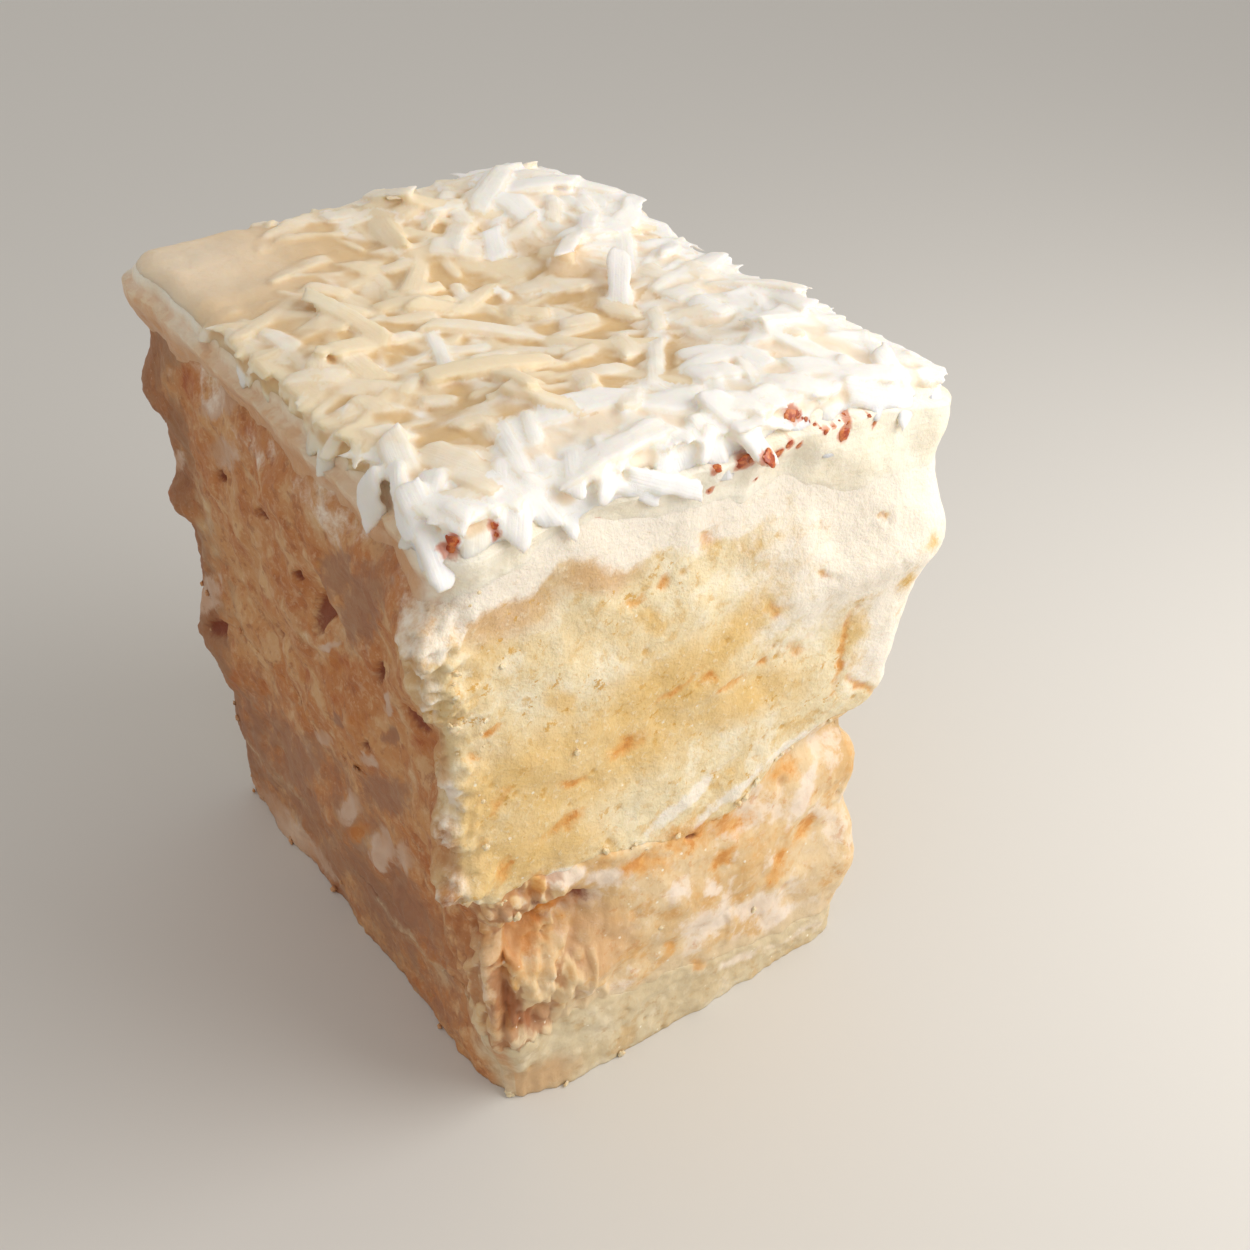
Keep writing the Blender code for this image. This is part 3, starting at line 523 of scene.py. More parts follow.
def sponge_top(x, y):
    """The upper sponge's top, under frosting that is thin at the front left, thick at its right."""
    front = smooth_step(-0.006, -0.022, y)
    thin = bump(x, y, (-0.0125, -0.026), (0.0055, 0.006))
    thick = smooth_step(0.005, 0.012, x) * front
    return SPONGE_HEIGHT + 0.0022 * thin - 0.0026 * thick + 0.0007 * lumps(x, y, 0.3, 0.006)


def crown(x, y):
    """The frosted top: dished in the middle, heaped at the back and lower along the right."""
    dish = bump(x, y, (0.001, 0.002), (0.013, 0.016))
    heap = bump(x, y, (0.0115, 0.0180), (0.0085, 0.0085))
    ridge = bump(x, y, (0.004, -0.0215), (0.015, 0.0050))
    smear = bump(x, y, (-0.016, 0.021), (0.008, 0.009))
    right = smooth_step(0.0120, 0.0225, x)
    top = CROWN_HEIGHT - 0.0016 * dish + 0.0012 * heap + 0.0004 * ridge + 0.0006 * smear
    return top - 0.0018 * right + 0.0004 * lumps(x, y, 0.4, 0.005)


# The height in the noise at which each upper edge is drawn
SEAMS = {lower_sponge_top: 0.51, filling_top: 0.52, sponge_top: 0.53}


def seam(top, x, y):
    """A layer's upper edge on the cut faces, where it wanders up and down."""
    seed = SEAMS[top]
    return top(x, y) + (0.00050 * lumps(x, y, seed, 0.0026) + 0.00030 * lumps(x, y, seed, 0.0010))


def facing_left(normal, low=0.35, high=0.85):
    """1 on the left face, 0 on the others."""
    return smooth_step(low, high, -normal[..., 0])


# What shows on the cut faces -------------------------------------------------------------------


def along_face(x, y, normal):
    """The face that each point belongs to, and how far along it the point is."""
    lengthways = np.abs(normal[..., 0]) > np.abs(normal[..., 1])
    face = np.where(
        lengthways,
        np.where(normal[..., 0] > 0.0, "right", "left"),
        np.where(normal[..., 1] > 0.0, "back", "front"),
    )
    return face, np.where(lengthways, y, x)


def all_marks():
    """The marks in the photograph, and more of the same sizes for the right and the back face."""
    marks = [(*key, *row) for key, rows in MARKS.items() for row in rows]
    draw = random.Random(HIDDEN_SEED)
    for i in range(HIDDEN_MARKS):
        face = ("right", "back")[i % 2]
        kind = draw.choice(("gold", "orange", "orange", "pale", "tan"))
        broad = 3.0 if kind in ("gold", "tan") else 1.0
        size = draw.uniform(0.5, 1.6) * broad
        place = (draw.uniform(-20.0, 20.0), draw.uniform(4.0, 55.0))
        marks.append((face, kind, *place, size, size * 0.5, draw.uniform(-70, 70)))
    return marks


def mark_masks(points, normal):
    """How strongly each kind of mark shows at each point, from 0 to 1."""
    x, y, z = np.moveaxis(points, -1, 0)
    face, along = along_face(x, y, normal)
    sway = 0.00045 * lumps(x, y, z, 0.0013) + 0.00022 * lumps(x, y, z, 0.0005)
    heave = 0.00045 * lumps(x, y, z + 0.2, 0.0013) + 0.00022 * lumps(x, y, z + 0.2, 0.0005)
    masks = {kind: np.zeros(x.shape) for kind in MARK_KINDS}
    for where, kind, centre, height, wide, tall, tilt in all_marks():
        turn = math.radians(tilt)
        across = along + sway - centre * MM
        up = z + heave - height * MM
        long_way = across * math.cos(turn) + up * math.sin(turn)
        short_way = up * math.cos(turn) - across * math.sin(turn)
        reach = np.hypot(long_way / (wide * MM), short_way / (tall * MM))
        _, soft = MARK_KINDS[kind]
        strength = smooth_step(1.0 + soft, 1.0 - soft, reach)
        masks[kind] = np.maximum(masks[kind], np.where(face == where, strength, 0.0))
    return masks


def soaked_and_shaded(points, normal):
    """How brown the crumb is on the left face, which lies in shade, and less so on the back: partly
    its own brown and partly painted shade. There is less of it by the front edge, where the crumbs
    are white and the face is lit.
    """
    x, y, z = np.moveaxis(points, -1, 0)
    left = facing_left(normal)
    back = 0.40 * smooth_step(0.3, 0.9, normal[..., 1])
    patchy = 0.82 + 0.45 * lumps(x, y, z, 0.0050) + 0.25 * lumps(x, y, z, 0.0016)
    edge = 1.0 - 0.55 * np.exp(-(((y + 0.0235) / 0.0016) ** 2))
    edge = edge * (1.0 - 0.45 * bump(y, z, (-0.0225, 0.0110), (0.0040, 0.0080)))
    return np.clip(np.maximum(left * edge, back) * patchy, 0.0, 1.0)


def pits(x, y, z, size, share, reach):
    """Pores: 1 at the bottom of one, on a share of the grains."""
    distance, number = grains(x, y, z, size)
    width = reach * (0.4 + 0.6 * number / share)
    return np.where(number < share, smooth_step(width, 0.3 * width, distance), 0.0)


def sponge_texture(points, normal):
    """Crumb of the upper sponge: how far it stands out, and its pores."""
    x, y, z = np.moveaxis(points, -1, 0)
    front = smooth_step(0.5, 0.9, -normal[..., 1])
    left = facing_left(normal, 0.5, 0.9)
    ragged_edge = bump(x, y, (-0.0230, -0.0250), (0.0030, 0.0022))
    distance, number = grains(x, y, z, 0.0013)
    crumb = (0.45 - distance) * (0.6 + 0.8 * number)
    climb = 0.60  # of the knife's drag, rising to the right
    drag = lumps(x + climb * z, 0.0, (z - climb * x) * 9.0, 0.0050) * front
    fine = lumps(x, y, z, 0.0009)
    broad = lumps(x, y, z, 0.0032)
    low = smooth_step(0.034, 0.027, z) * front
    pore = pits(x, y, z, 0.0024, 0.5, 0.26) * (1.0 - 0.6 * left)
    out = 0.00005 * fine + 0.00005 * broad + 0.00006 * drag
    finer_distance, _ = grains(x, y, z, 0.00075)
    finer_crumb = 0.40 - finer_distance
    out += crumb * (0.00006 + 0.00060 * ragged_edge + 0.00016 * left + 0.00014 * low)
    out += finer_crumb * (0.00003 + 0.00040 * ragged_edge + 0.00006 * low)
    tuft = 1.0 - 2.0 * np.abs(lumps(x, y, z, 0.0019))
    out += ragged_edge * (0.00075 * tuft + 0.00055 * fine + 0.00030 * lumps(x, y, z, 0.00045))
    out += left * (0.00035 * broad + 0.00012 * fine)
    out -= 0.00014 * pore
    return out, {"pore": pore}


def with_marks(texture, points, normal):
    """How far a cut face stands out, its marks counted in, and all its masks."""
    x, y, z = np.moveaxis(points, -1, 0)
    masks = mark_masks(points, normal)
    out, more = texture(points, normal)
    for kind, (height, _) in MARK_KINDS.items():
        out = out + height * masks[kind]
    masks.update(more)
    # The left face's brown: partly the crumb's own, partly painted shade
    masks["soak_and_shade"] = soaked_and_shaded(points, normal)
    # Painted shade on the left face: purplish brown low down, away from the front edge
    painted_low_shade = 0.55 + 0.55 * lumps(x, y, z + 0.1, 0.0060)
    painted_low_shade = painted_low_shade * smooth_step(0.030, 0.016, z) * smooth_step(-0.0230, -0.0150, y)
    painted_low_shade = np.clip(painted_low_shade, 0.0, 1.0) * facing_left(normal, 0.5, 0.9)
    masks["mauve"] = np.maximum(masks["mauve"], painted_low_shade)
    # Painted shade on the left face: darker brown towards the back, and in a patch low down near
    # the middle
    far = np.maximum(smooth_step(0.014, 0.025, y), bump(y, z, (-0.006, 0.011), (0.008, 0.007)))
    uneven = 0.86 + 0.55 * lumps(x, y, z, 0.0042)
    masks["deep"] = np.clip(far * uneven, 0.0, 1.0) * facing_left(normal)
    return out, masks


def strand_places():
    """Coconut strands in the filling, many of them upright at the front corner."""
    draw = random.Random(STRAND_SEED)
    strands = []
    for i in range(STRANDS):
        corner = i < CORNER_STRANDS
        heights, *sizes = CORNER_STRAND if corner else OTHER_STRAND
        share = (draw.gauss(0.004, 0.016) if corner else draw.random()) % 1.0
        z = draw.uniform(*heights)
        lean = draw.gauss(0.10, 0.45) if corner else draw.uniform(-1.5, 1.5)
        length, width, height = (draw.uniform(*span) for span in sizes)
        bend = draw.uniform(-0.20, 0.20)
        centre, out = wall(share, z)
        across = np.array([-out[1], out[0], 0.0])
        along = across * math.sin(lean) + np.array([0.0, 0.0, math.cos(lean)])
        side = across * math.cos(lean) - np.array([0.0, 0.0, math.sin(lean)])
        strands.append((centre, along, side, length, width, height, bend))
    return strands


def strand_ridges(points):
    """How far the strands in the filling stand out of it."""
    x, y, z = np.moveaxis(points, -1, 0)
    sway = 0.0004 * lumps(x, y, z, 0.0012)
    ridges = np.zeros(x.shape)
    for centre, along, side, length, width, height, bend in strand_places():
        away = points - centre
        run = 2.0 * (away @ along) / length
        beside = (away @ side + sway + bend * length * (run * run - 0.5)) / (width / 2.0)
        near = np.abs(away).max(-1) < length
        section = np.sqrt(np.clip(1.0 - beside * beside, 0.0, 1.0))
        ends = smooth_step(1.0, 0.80, np.abs(run))
        ridges = np.maximum(ridges, np.where(near, height * section * ends, 0.0))
    return ridges


def filling_texture(points, normal):
    """The filling: torn cream in clumps and upright strands."""
    x, y, z = np.moveaxis(points, -1, 0)
    corner = bump(x, y, (-0.0185, -0.0262), (0.0065, 0.0120))
    around = x - y
    strand = lumps(around * 3.4, 0.3, z, 0.0046) + 0.5 * lumps(around * 3.4, 0.8, z, 0.0021)
    lean = 0.8 * lumps(x, y, z, 0.0060)
    shreddy = lumps(around + lean * z, 0.1, 4.0 * (z - lean * around), 0.0042)
    clump_distance, number = grains(x, y, z, 0.0022)
    clump = (0.5 - clump_distance) * (0.5 + number)
    torn_distance, torn_number = grains(x + 0.3 * z, y, z * 0.6, 0.0012)
    torn = (0.5 - torn_distance) * (0.4 + torn_number)
    fine = lumps(x, y, z, 0.0008)
    broad = lumps(x, y, z, 0.0030)
    hollow = pits(x, y, z, 0.0034, 0.4, 0.30)
    ridges = strand_ridges(points)
    out = 0.00008 * fine + 0.00024 * broad + 0.00030 * clump + 0.00006 * shreddy + ridges
    out += corner * (0.00065 * strand + 0.00110 * torn) - 0.00030 * hollow
    between = np.maximum(smooth_step(0.05, -0.30, strand), smooth_step(0.44, 0.60, torn_distance))
    groove_painted_shade = corner * between * smooth_step(0.0004, 0.0001, ridges)
    # The strands' height and the furrows between them, for a painted highlight on the strands and
    # painted shade in the furrows
    return out, {"pore": hollow * 0.5, "groove_painted_shade": groove_painted_shade, "ridge": ridges / 0.00060}


def lower_sponge_texture(points, normal):
    """The lower sponge: close crumb, drawn out a little at the front corner."""
    x, y, z = np.moveaxis(points, -1, 0)
    distance, number = grains(x, y, z, 0.0015)
    crumb = (0.45 - distance) * (0.5 + number)
    fine = lumps(x, y, z, 0.0008)
    broad = lumps(x, y, z, 0.0030)
    corner = bump(x, y, (-0.0185, -0.0262), (0.0030, 0.0100))
    strand = lumps((x - y) * 3.6, 0.3, z, 0.0042)
    pore = pits(x, y, z, 0.0022, 0.4, 0.24)
    out = 0.00012 * fine + 0.00022 * broad + 0.00022 * crumb
    out += 0.00035 * corner * strand - 0.00022 * pore
    return out, {"pore": pore * 0.7}


# Meshes ----------------------------------------------------------------------------------------


def wall_columns():
    """The grids' columns: shares of the way round, and the wall's x and y halfway up."""
    shares = [(side + i / n) / 4.0 for side, n in enumerate(SIDE_COLUMNS) for i in range(n)]
    middle, _ = wall(np.array(shares), np.full(len(shares), CROWN_HEIGHT / 2.0))
    return np.array(shares), middle[:, 0], middle[:, 1]


def grid_faces(rows, columns):
    """Quads of a grid that closes on itself along its rows, with both ends filled by fans."""
    index = np.arange(rows * columns).reshape(rows, columns)
    after = np.roll(index, -1, axis=1)
    quads = np.stack([index[:-1], after[:-1], after[1:], index[1:]], -1).reshape(-1, 4)
    foot, top = rows * columns, rows * columns + 1
    faces = quads.tolist()
    faces += [[foot, b, a] for a, b in zip(index[0].tolist(), after[0].tolist())]
    faces += [[top, a, b] for a, b in zip(index[-1].tolist(), after[-1].tolist())]
    return faces


def add_piece(name, vertices, faces, material, slot, masks, nodes=()):
    """A shown piece, riding on the cake, with a value at each vertex for each mask."""
    data = bpy.data.meshes.new(name)
    moved = np.asarray(vertices) - np.array([BOX_MIDDLE[0], BOX_MIDDLE[1], 0.0])
    moved[:, 2] = np.maximum(moved[:, 2], 0.0)
    data.from_pydata(moved.tolist(), [], faces)
    data.shade_smooth()
    for label, values in masks.items():
        layer = data.attributes.new(label, "FLOAT", "POINT")
        layer.data.foreach_set("value", np.asarray(values, dtype=np.float32))
    data.materials.append(material)
    piece = bpy.data.objects.new(name, data)
    bpy.context.scene.collection.objects.link(piece)
    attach(piece, "root")
    if nodes:
        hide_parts(*nodes)


def with_ends(points, values):
    """A grid's points with a middle point for each of its two fans."""
    flat = points.reshape(-1, 3)
    ends = np.array([points[0].mean(0), points[-1].mean(0)])
    padded = {
        label: np.concatenate([v.reshape(-1), [v[0].mean(), v[-1].mean()]])
        for label, v in values.items()
    }
    return np.concatenate([flat, ends]), padded


def faded(slot, points, low, high):
    """Where a layer takes the colour of the next one: cream on the upper sponge along its top,
    down the front right corner and in tufts on the front left one, and lighter feet and tops."""
    x, y, z = np.moveaxis(points, -1, 0)
    sway = 0.0020 * lumps(x, y, z, 0.0045) + 0.0005 * lumps(x, y, z, 0.0014)
    if slot == "upper_sponge":
        right = smooth_step(-0.002, 0.013, x) * smooth_step(0.036, 0.046, z)
        right = np.maximum(right, smooth_step(0.013, 0.018, x) * smooth_step(0.029, 0.035, z))
        right = right * smooth_step(-0.012, -0.021, y + sway)
        lip = bump(x, y, (-0.0238, -0.0262), (0.0021, 0.0022)) * smooth_step(0.056, 0.050, z)
        tufts = 0.85 * smooth_step(0.15, 0.60, lip + 90.0 * sway)
        return np.maximum(smooth_step(0.0044, 0.0028, high - z + sway), np.maximum(tufts, right))
    if slot == "cream_filling":
        return smooth_step(0.0030, 0.0004, z - low + sway)
    return smooth_step(0.0020, 0.0002, high - z + sway)


def layer_piece(slot, lower, upper, rows, texture, material):
    """One layer of the cake as a fine mesh that replaces its solid."""
    shares, x, y = wall_columns()
    low = base(x, y) if lower is base else seam(lower, x, y) - OVERLAP
    high = seam(upper, x, y) + OVERLAP
    z = low + (high - low) * np.linspace(0.0, 1.0, rows)[:, None]
    points, normal = wall(shares, z)
    out, masks = with_marks(texture, points, normal)
    if lower is base:
        turned = np.exp(-(high - z) / TURNED_IN) + 0.6 * np.exp(-(z - low) / 0.0004)
        out = out - FOOT_TURN_DEPTH * turned
    else:
        turned = np.exp(-(z - low) / TURNED_IN) + np.exp(-(high - z) / TURNED_IN)
        out = out - TURN_DEPTH * turned
    points = points + normal * out[..., None]
    kept = np.maximum(masks["gold"], masks["orange"])
    masks["faded"] = faded(slot, points, low, high) * (1.0 - masks["soak_and_shade"]) * (1.0 - 0.7 * kept)
    vertices, masks = with_ends(points, masks)
    faces = grid_faces(rows, len(shares))
    add_piece(slot + "_as_cut", vertices, faces, material, slot, masks, [slot])


def cream_band(foot, start, side):
    """The cream smeared down over the sponge, as rough as the sponge at its foot."""
    shares, _, _ = wall_columns()
    up = np.linspace(0.0, 1.0, BAND_ROWS)[:, None]
    z = foot + (start - foot) * up
    band, out = wall(shares, z)
    blend = smooth_step(0.15, 1.0, up)[..., None]
    band[..., :2] = band[..., :2] * (1.0 - blend) + side[None, :, :2] * blend
    sponge_out, _ = with_marks(sponge_texture, band, out)
    cover = smooth_step(0.0, 0.0034, z - foot)
    full = 0.00040 + 0.00065 * smooth_step(0.0016, 0.0044, z - foot)
    thick = (1.0 - cover) * (sponge_out - 0.00012) + full * cover
    return band + out * thick[..., None], out


def cream_shoulder(start, side, out, rim):
    """The cream's rounded edge."""
    turns = np.linspace(0.0, math.pi / 2.0, SHOULDER_ROWS + 1)[1:, None]
    outwards, upwards = np.cos(turns), np.sin(turns)
    flat = rim[None, :, :2] + (side - rim)[None, :, :2] * outwards[..., None]
    flat = flat + out[None, :, :2] * (0.00020 * outwards)[..., None]
    height = (start + SHOULDER * upwards)[..., None]
    flat_out = out[None, :, :2] * outwards[..., None]
    normal = np.concatenate([flat_out, upwards[..., None] + 0.0 * height], -1)
    return np.concatenate([flat, height], -1), normal


def cream_rings(rim, cream_top):
    """The cream's top, in ever smaller rings, up to where it fills the gaps in the heap."""
    scales = np.linspace(1.0, 0.03, CROWN_ROWS)[1:, None, None]
    centre = rim.mean(0)
    flat = centre[:2] + (rim[None, :, :2] - centre[:2]) * scales
    height = crown(flat[..., 0], flat[..., 1])
    between = cream_top.height(flat[..., 0], flat[..., 1])
    inside = smooth_step(1.0, 0.90, scales[..., 0])
    height = (height + inside * np.maximum(between - height, 0.0))[..., None]
    top = np.concatenate([flat, height], -1)
    return top, np.zeros(top.shape) + (0.0, 0.0, 1.0)


def cream_surface(cream_top):
    """The cream as rows of points, from the foot of its band to its middle, with normals."""
    shares, x, y = wall_columns()
    drip = 0.0026 * np.maximum(lumps(x, y, 0.7, 0.0050), 0.0) + 0.0007 * lumps(x, y, 0.8, 0.0014)
    corner = bump(x, y, (-0.0225, -0.0255), (0.0035, 0.0040))
    foot = sponge_top(x, y) - 0.0012 - 0.6 * drip - 0.0012 * corner
    side, out = wall(shares, np.full(shares.shape, CROWN_HEIGHT - SHOULDER))
    rim = side * np.array([RIM_INSET, RIM_INSET, 1.0])
    start = crown(rim[:, 0], rim[:, 1]) - SHOULDER
    parts = (
        cream_band(foot, start, side),
        cream_shoulder(start, side, out, rim),
        cream_rings(rim, cream_top),
    )
    points, normal = (np.concatenate(rows) for rows in zip(*parts))
    x, y, z = np.moveaxis(points, -1, 0)
    swirl = lumps(x * 0.7 + y * 0.5, y * 2.2, z, 0.0050)
    swell = 0.00018 * lumps(x, y, z, 0.0026) + 0.00008 * lumps(x, y, z, 0.0009) + 0.00012 * swirl
    above_foot = smooth_step(0.0, 0.0020, z - foot)
    return points + normal * (swell * above_foot)[..., None], normal


def cream_masks(points, normal):
    """Where the cream is bare of coconut, and where it is browner on the left: partly its own
    colour, partly painted shade, and more so lower down.
    """
    x, y, z = np.moveaxis(points, -1, 0)
    bare = bump(x, y, *BARE_CREAM)
    soak_and_shade = soaked_and_shaded(points, normal)
    return {
        "soak_and_shade": soak_and_shade * smooth_step(0.0625, 0.0585, z),
        "bare": np.clip(bare + smooth_step(0.75, 0.35, normal[..., 2]), 0.0, 1.0),
        "low": soak_and_shade * smooth_step(0.0605, 0.0572, z),
    }


def fused(vertices, faces):
    """Many overlapping forms as the one skin round them all."""
    data = bpy.data.meshes.new("loose_forms")
    data.from_pydata(vertices.tolist(), [], faces)
    form = bpy.data.objects.new("loose_forms", data)
    bpy.context.scene.collection.objects.link(form)
    remesh = form.modifiers.new("fuse", "REMESH")
    remesh.mode = "VOXEL"
    remesh.voxel_size = FUSE_CELL
    skin = bmesh.new()
    skin.from_mesh(form.evaluated_get(bpy.context.evaluated_depsgraph_get()).to_mesh())
    bpy.data.objects.remove(form)
    for _ in range(SKIN_SMOOTHING):
        bmesh.ops.smooth_vert(
            skin, verts=skin.verts, factor=0.5, use_axis_x=True, use_axis_y=True, use_axis_z=True
        )
    below = SKIN_FLOOR + FUSE_CELL / 2.0
    flat = [face for face in skin.faces if all(vertex.co.z < below for vertex in face.verts)]
    bmesh.ops.delete(skin, geom=flat, context="FACES")
    bmesh.ops.holes_fill(skin, edges=skin.edges, sides=0)
    skin.verts.index_update()
    points = np.array([tuple(vertex.co) for vertex in skin.verts])
    faces = [[vertex.index for vertex in face.verts] for face in skin.faces]
    skin.free()
    return points, faces


def carried_over(points, vertices, faces, masks):
    """The masks of a mesh, at points on or near it."""
    tree = BVHTree.FromPolygons(vertices.tolist(), faces)
    corners = [Vector(vertex) for vertex in vertices]
    table = np.stack(list(masks.values()), -1)
    carried = np.empty((len(points), table.shape[1]))
    for i, point in enumerate(points.tolist()):
        place, _, index, _ = tree.find_nearest(point)
        face = faces[index]
        weights = poly_3d_calc([corners[j] for j in face], place)
        carried[i] = np.array(weights) @ table[face]
    return dict(zip(masks, carried.T))


# Coconut ---------------------------------------------------------------------------------------


def white_zone(x, y):
    """Coconut is white along the front and right and on the heap, and creamy in the middle."""
    front = smooth_step(-0.0130, -0.0200, y)
    right = 0.90 * smooth_step(0.0000, 0.0130, x)
    heap = 0.8 * bump(x, y, (0.0090, 0.0140), (0.0090, 0.0090))
    corner = 0.9 * bump(x, y, (-0.0215, -0.0175), (0.0035, 0.0050))
    return np.maximum(np.maximum(front, right), np.maximum(np.maximum(heap, corner), 0.30))


def syrup_stain(points, spots):
    """How red the cream and the coconut are near the syrup."""
    x, y, z = np.moveaxis(points, -1, 0)
    sway = 0.0003 * lumps(x, y, z, 0.0009) + 0.0002 * lumps(x, y, z, 0.0004)
    stain = np.zeros(points.shape[:-1])
    for place, _, radius in spots:
        away = np.linalg.norm(points - np.array(place), axis=-1)
        stain = np.maximum(stain, smooth_step(2.0 * radius, 0.6 * radius, away + sway))
    return stain


def shoulder_point(share, turn):
    """A point of the frosting's rounded edge, turned up from the wall, and its normal."""
    side, out = wall(share, CROWN_HEIGHT - SHOULDER)
    side, out = Vector(side), Vector(out)
    rim = side * RIM_INSET
    bottom = float(crown(rim.x, rim.y)) - SHOULDER
    flat = rim.lerp(side, math.cos(turn))
    normal = Vector((out.x * math.cos(turn), out.y * math.cos(turn), math.sin(turn)))
    return Vector((flat.x, flat.y, bottom + SHOULDER * math.sin(turn))), normal


class Heap:
    """Heights of what lies on the crown so far, cell by cell."""

    def __init__(self):
        count = int(2.0 * HEAP_REACH / HEAP_CELL)
        steps = np.arange(count) * HEAP_CELL - HEAP_REACH
        self.heights = crown(*np.meshgrid(steps, steps, indexing="ij"))

    def cell(self, x, y):
        """The cell that a place lies in."""
        return int((x + HEAP_REACH) / HEAP_CELL), int((y + HEAP_REACH) / HEAP_CELL)

    def lay(self, x, y, heading, length, width, thickness):
        """Rests a shred on the heap. Gives its middle and its direction."""
        ahead = Vector((math.cos(heading), math.sin(heading)))
        aside = Vector((-ahead.y, ahead.x))
        spots = []
        for i in range(-6, 7):
            for j in (-1, 0, 1):
                run = i / 12.0 * length
                place = Vector((x, y)) + ahead * run + aside * (j * width / 3.0)
                cell = self.cell(place.x, place.y)
                spots.append((run, cell, self.heights[cell]))
        behind = max(height for run, _, height in spots if run < 0.0)
        before = max(height for run, _, height in spots if run > 0.0)
        slope = float(np.clip((before - behind) / (length / 2.0), -MOST_TILT, MOST_TILT))
        rest = max(height - slope * run for run, _, height in spots) - SHRED_SINK
        for run, cell, height in spots:
            self.heights[cell] = max(height, rest + slope * run + thickness)
        return Vector((x, y, rest)), Vector((ahead.x, ahead.y, slope))

    def smoothed(self):
        """The cream that fills the gaps: the heap's tops, smoothed."""
        steps = np.arange(-3.0 * CREAM_BLUR, 3.0 * CREAM_BLUR, HEAP_CELL)
        weights = np.exp(-((steps / CREAM_BLUR) ** 2) / 2.0)
        weights /= weights.sum()
        smooth = self.heights
        for axis in (0, 1):
            smooth = np.apply_along_axis(np.convolve, axis, smooth, weights, "same")
        cream = Heap()
        cream.heights = np.maximum(cream.heights, smooth - CREAM_DEPTH)
        return cream

    def height(self, x, y):
        """The height at any points, between the cells."""
        u, v = (x + HEAP_REACH) / HEAP_CELL, (y + HEAP_REACH) / HEAP_CELL
        i, j = np.floor(u).astype(int), np.floor(v).astype(int)
        u, v = u - i, v - j
        near = self.heights[i, j] * (1.0 - u) + self.heights[i + 1, j] * u
        far = self.heights[i, j + 1] * (1.0 - u) + self.heights[i + 1, j + 1] * u
        return near * (1.0 - v) + far * v

    def press_in(self, x, y, heading, length, depth):
        """Presses a shred into the surface. Gives its middle and its direction."""
        ahead = Vector((math.cos(heading), math.sin(heading))) * (length * 0.4)
        behind, here, before = (
            float(self.height(np.array(x + run * ahead.x), np.array(y + run * ahead.y)))
            for run in (-1.0, 0.0, 1.0)
        )
        rest = max(here, (behind + before) / 2.0) - depth
        return Vector((x, y, rest)), Vector((2.0 * ahead.x, 2.0 * ahead.y, before - behind))


def draw_size(draw, spans):
    """Length, width and thickness of a shred."""
    return [draw.uniform(*span) for span in spans]


def scattered(draw, spacing, jitter):
    """Places on the square that spreads over the crown, one in each cell."""
    columns, rows = int(2.0 * HALF_WIDTH / spacing), int(2.0 * HALF_DEPTH / spacing)
    for i in range(columns):
        for j in range(rows):
            u = ((i + draw.uniform(*jitter)) / columns) * 2.0 - 1.0
            v = ((j + draw.uniform(*jitter)) / rows) * 2.0 - 1.0
            yield u, v


def held_inside(u, v, heading, length, reach):
    """Where a shred's middle lies on the crown, moved so that its ends keep within the reach."""
    ends_u = abs(math.cos(heading)) * length / 2.0 / HALF_WIDTH
    ends_v = abs(math.sin(heading)) * length / 2.0 / HALF_DEPTH
    u = min(max(u, ends_u - reach), reach - ends_u)
    v = min(max(v, ends_v - reach), reach - ends_v)
    return spread_over(np.array(CROWN), u, v)


def rolled(along, roll):
    """Upwards, tipped to one side of a shred."""
    across = Vector((-along.y, along.x, 0.0)).normalized()
    return Vector((0.0, 0.0, 1.0)) + across * roll


def drawn_along(draw, normal):
    """A drawn direction along the surface of the rounded edge."""
    round_the_edge = Vector((-normal.y, normal.x, 0.0)).normalized()
    down_the_edge = round_the_edge.cross(normal)
    lean = draw.uniform(-0.5, 0.5) * math.pi
    return round_the_edge * math.sin(lean) + down_the_edge * math.cos(lean)


def shred(middle, along, up, length, width, thickness, bow, bend=0.0, white=None):
    """What a shred is made from. Its middle is on its underside, as in the CAD source."""
    along = Vector(along).normalized()
    across = Vector(up).cross(along).normalized()
    up = along.cross(across)
    if white is None:
        white = float(white_zone(middle[0], middle[1]))
    return (*middle, *along, *across, *up, length, width, thickness, bow, bend, white)


def top_shreds(draw, heap):
    """The solid's shreds on the crown, from the same draws."""
    shreds = []
    for u, v in scattered(draw, SHRED_SPACING, (0.1, 0.9)):
        heading = draw.uniform(0.0, math.pi)
        length, width, thickness = draw_size(draw, SHRED_SIZE)
        bow, roll = draw.uniform(-0.0002, 0.0006), draw.uniform(-0.35, 0.35)
        bend, keep = draw.uniform(-0.0009, 0.0009), draw.random()
        x, y = held_inside(u, v, heading, length, TOP_REACH)
        if keep < bump(x, y, *BARE_OF_TOP_SHREDS):
            continue
        middle, along = heap.lay(x, y, heading, length, width, thickness)
        up = rolled(along, roll)
        shreds.append(shred(middle, along, up, length, width, thickness, bow, bend))
    return shreds


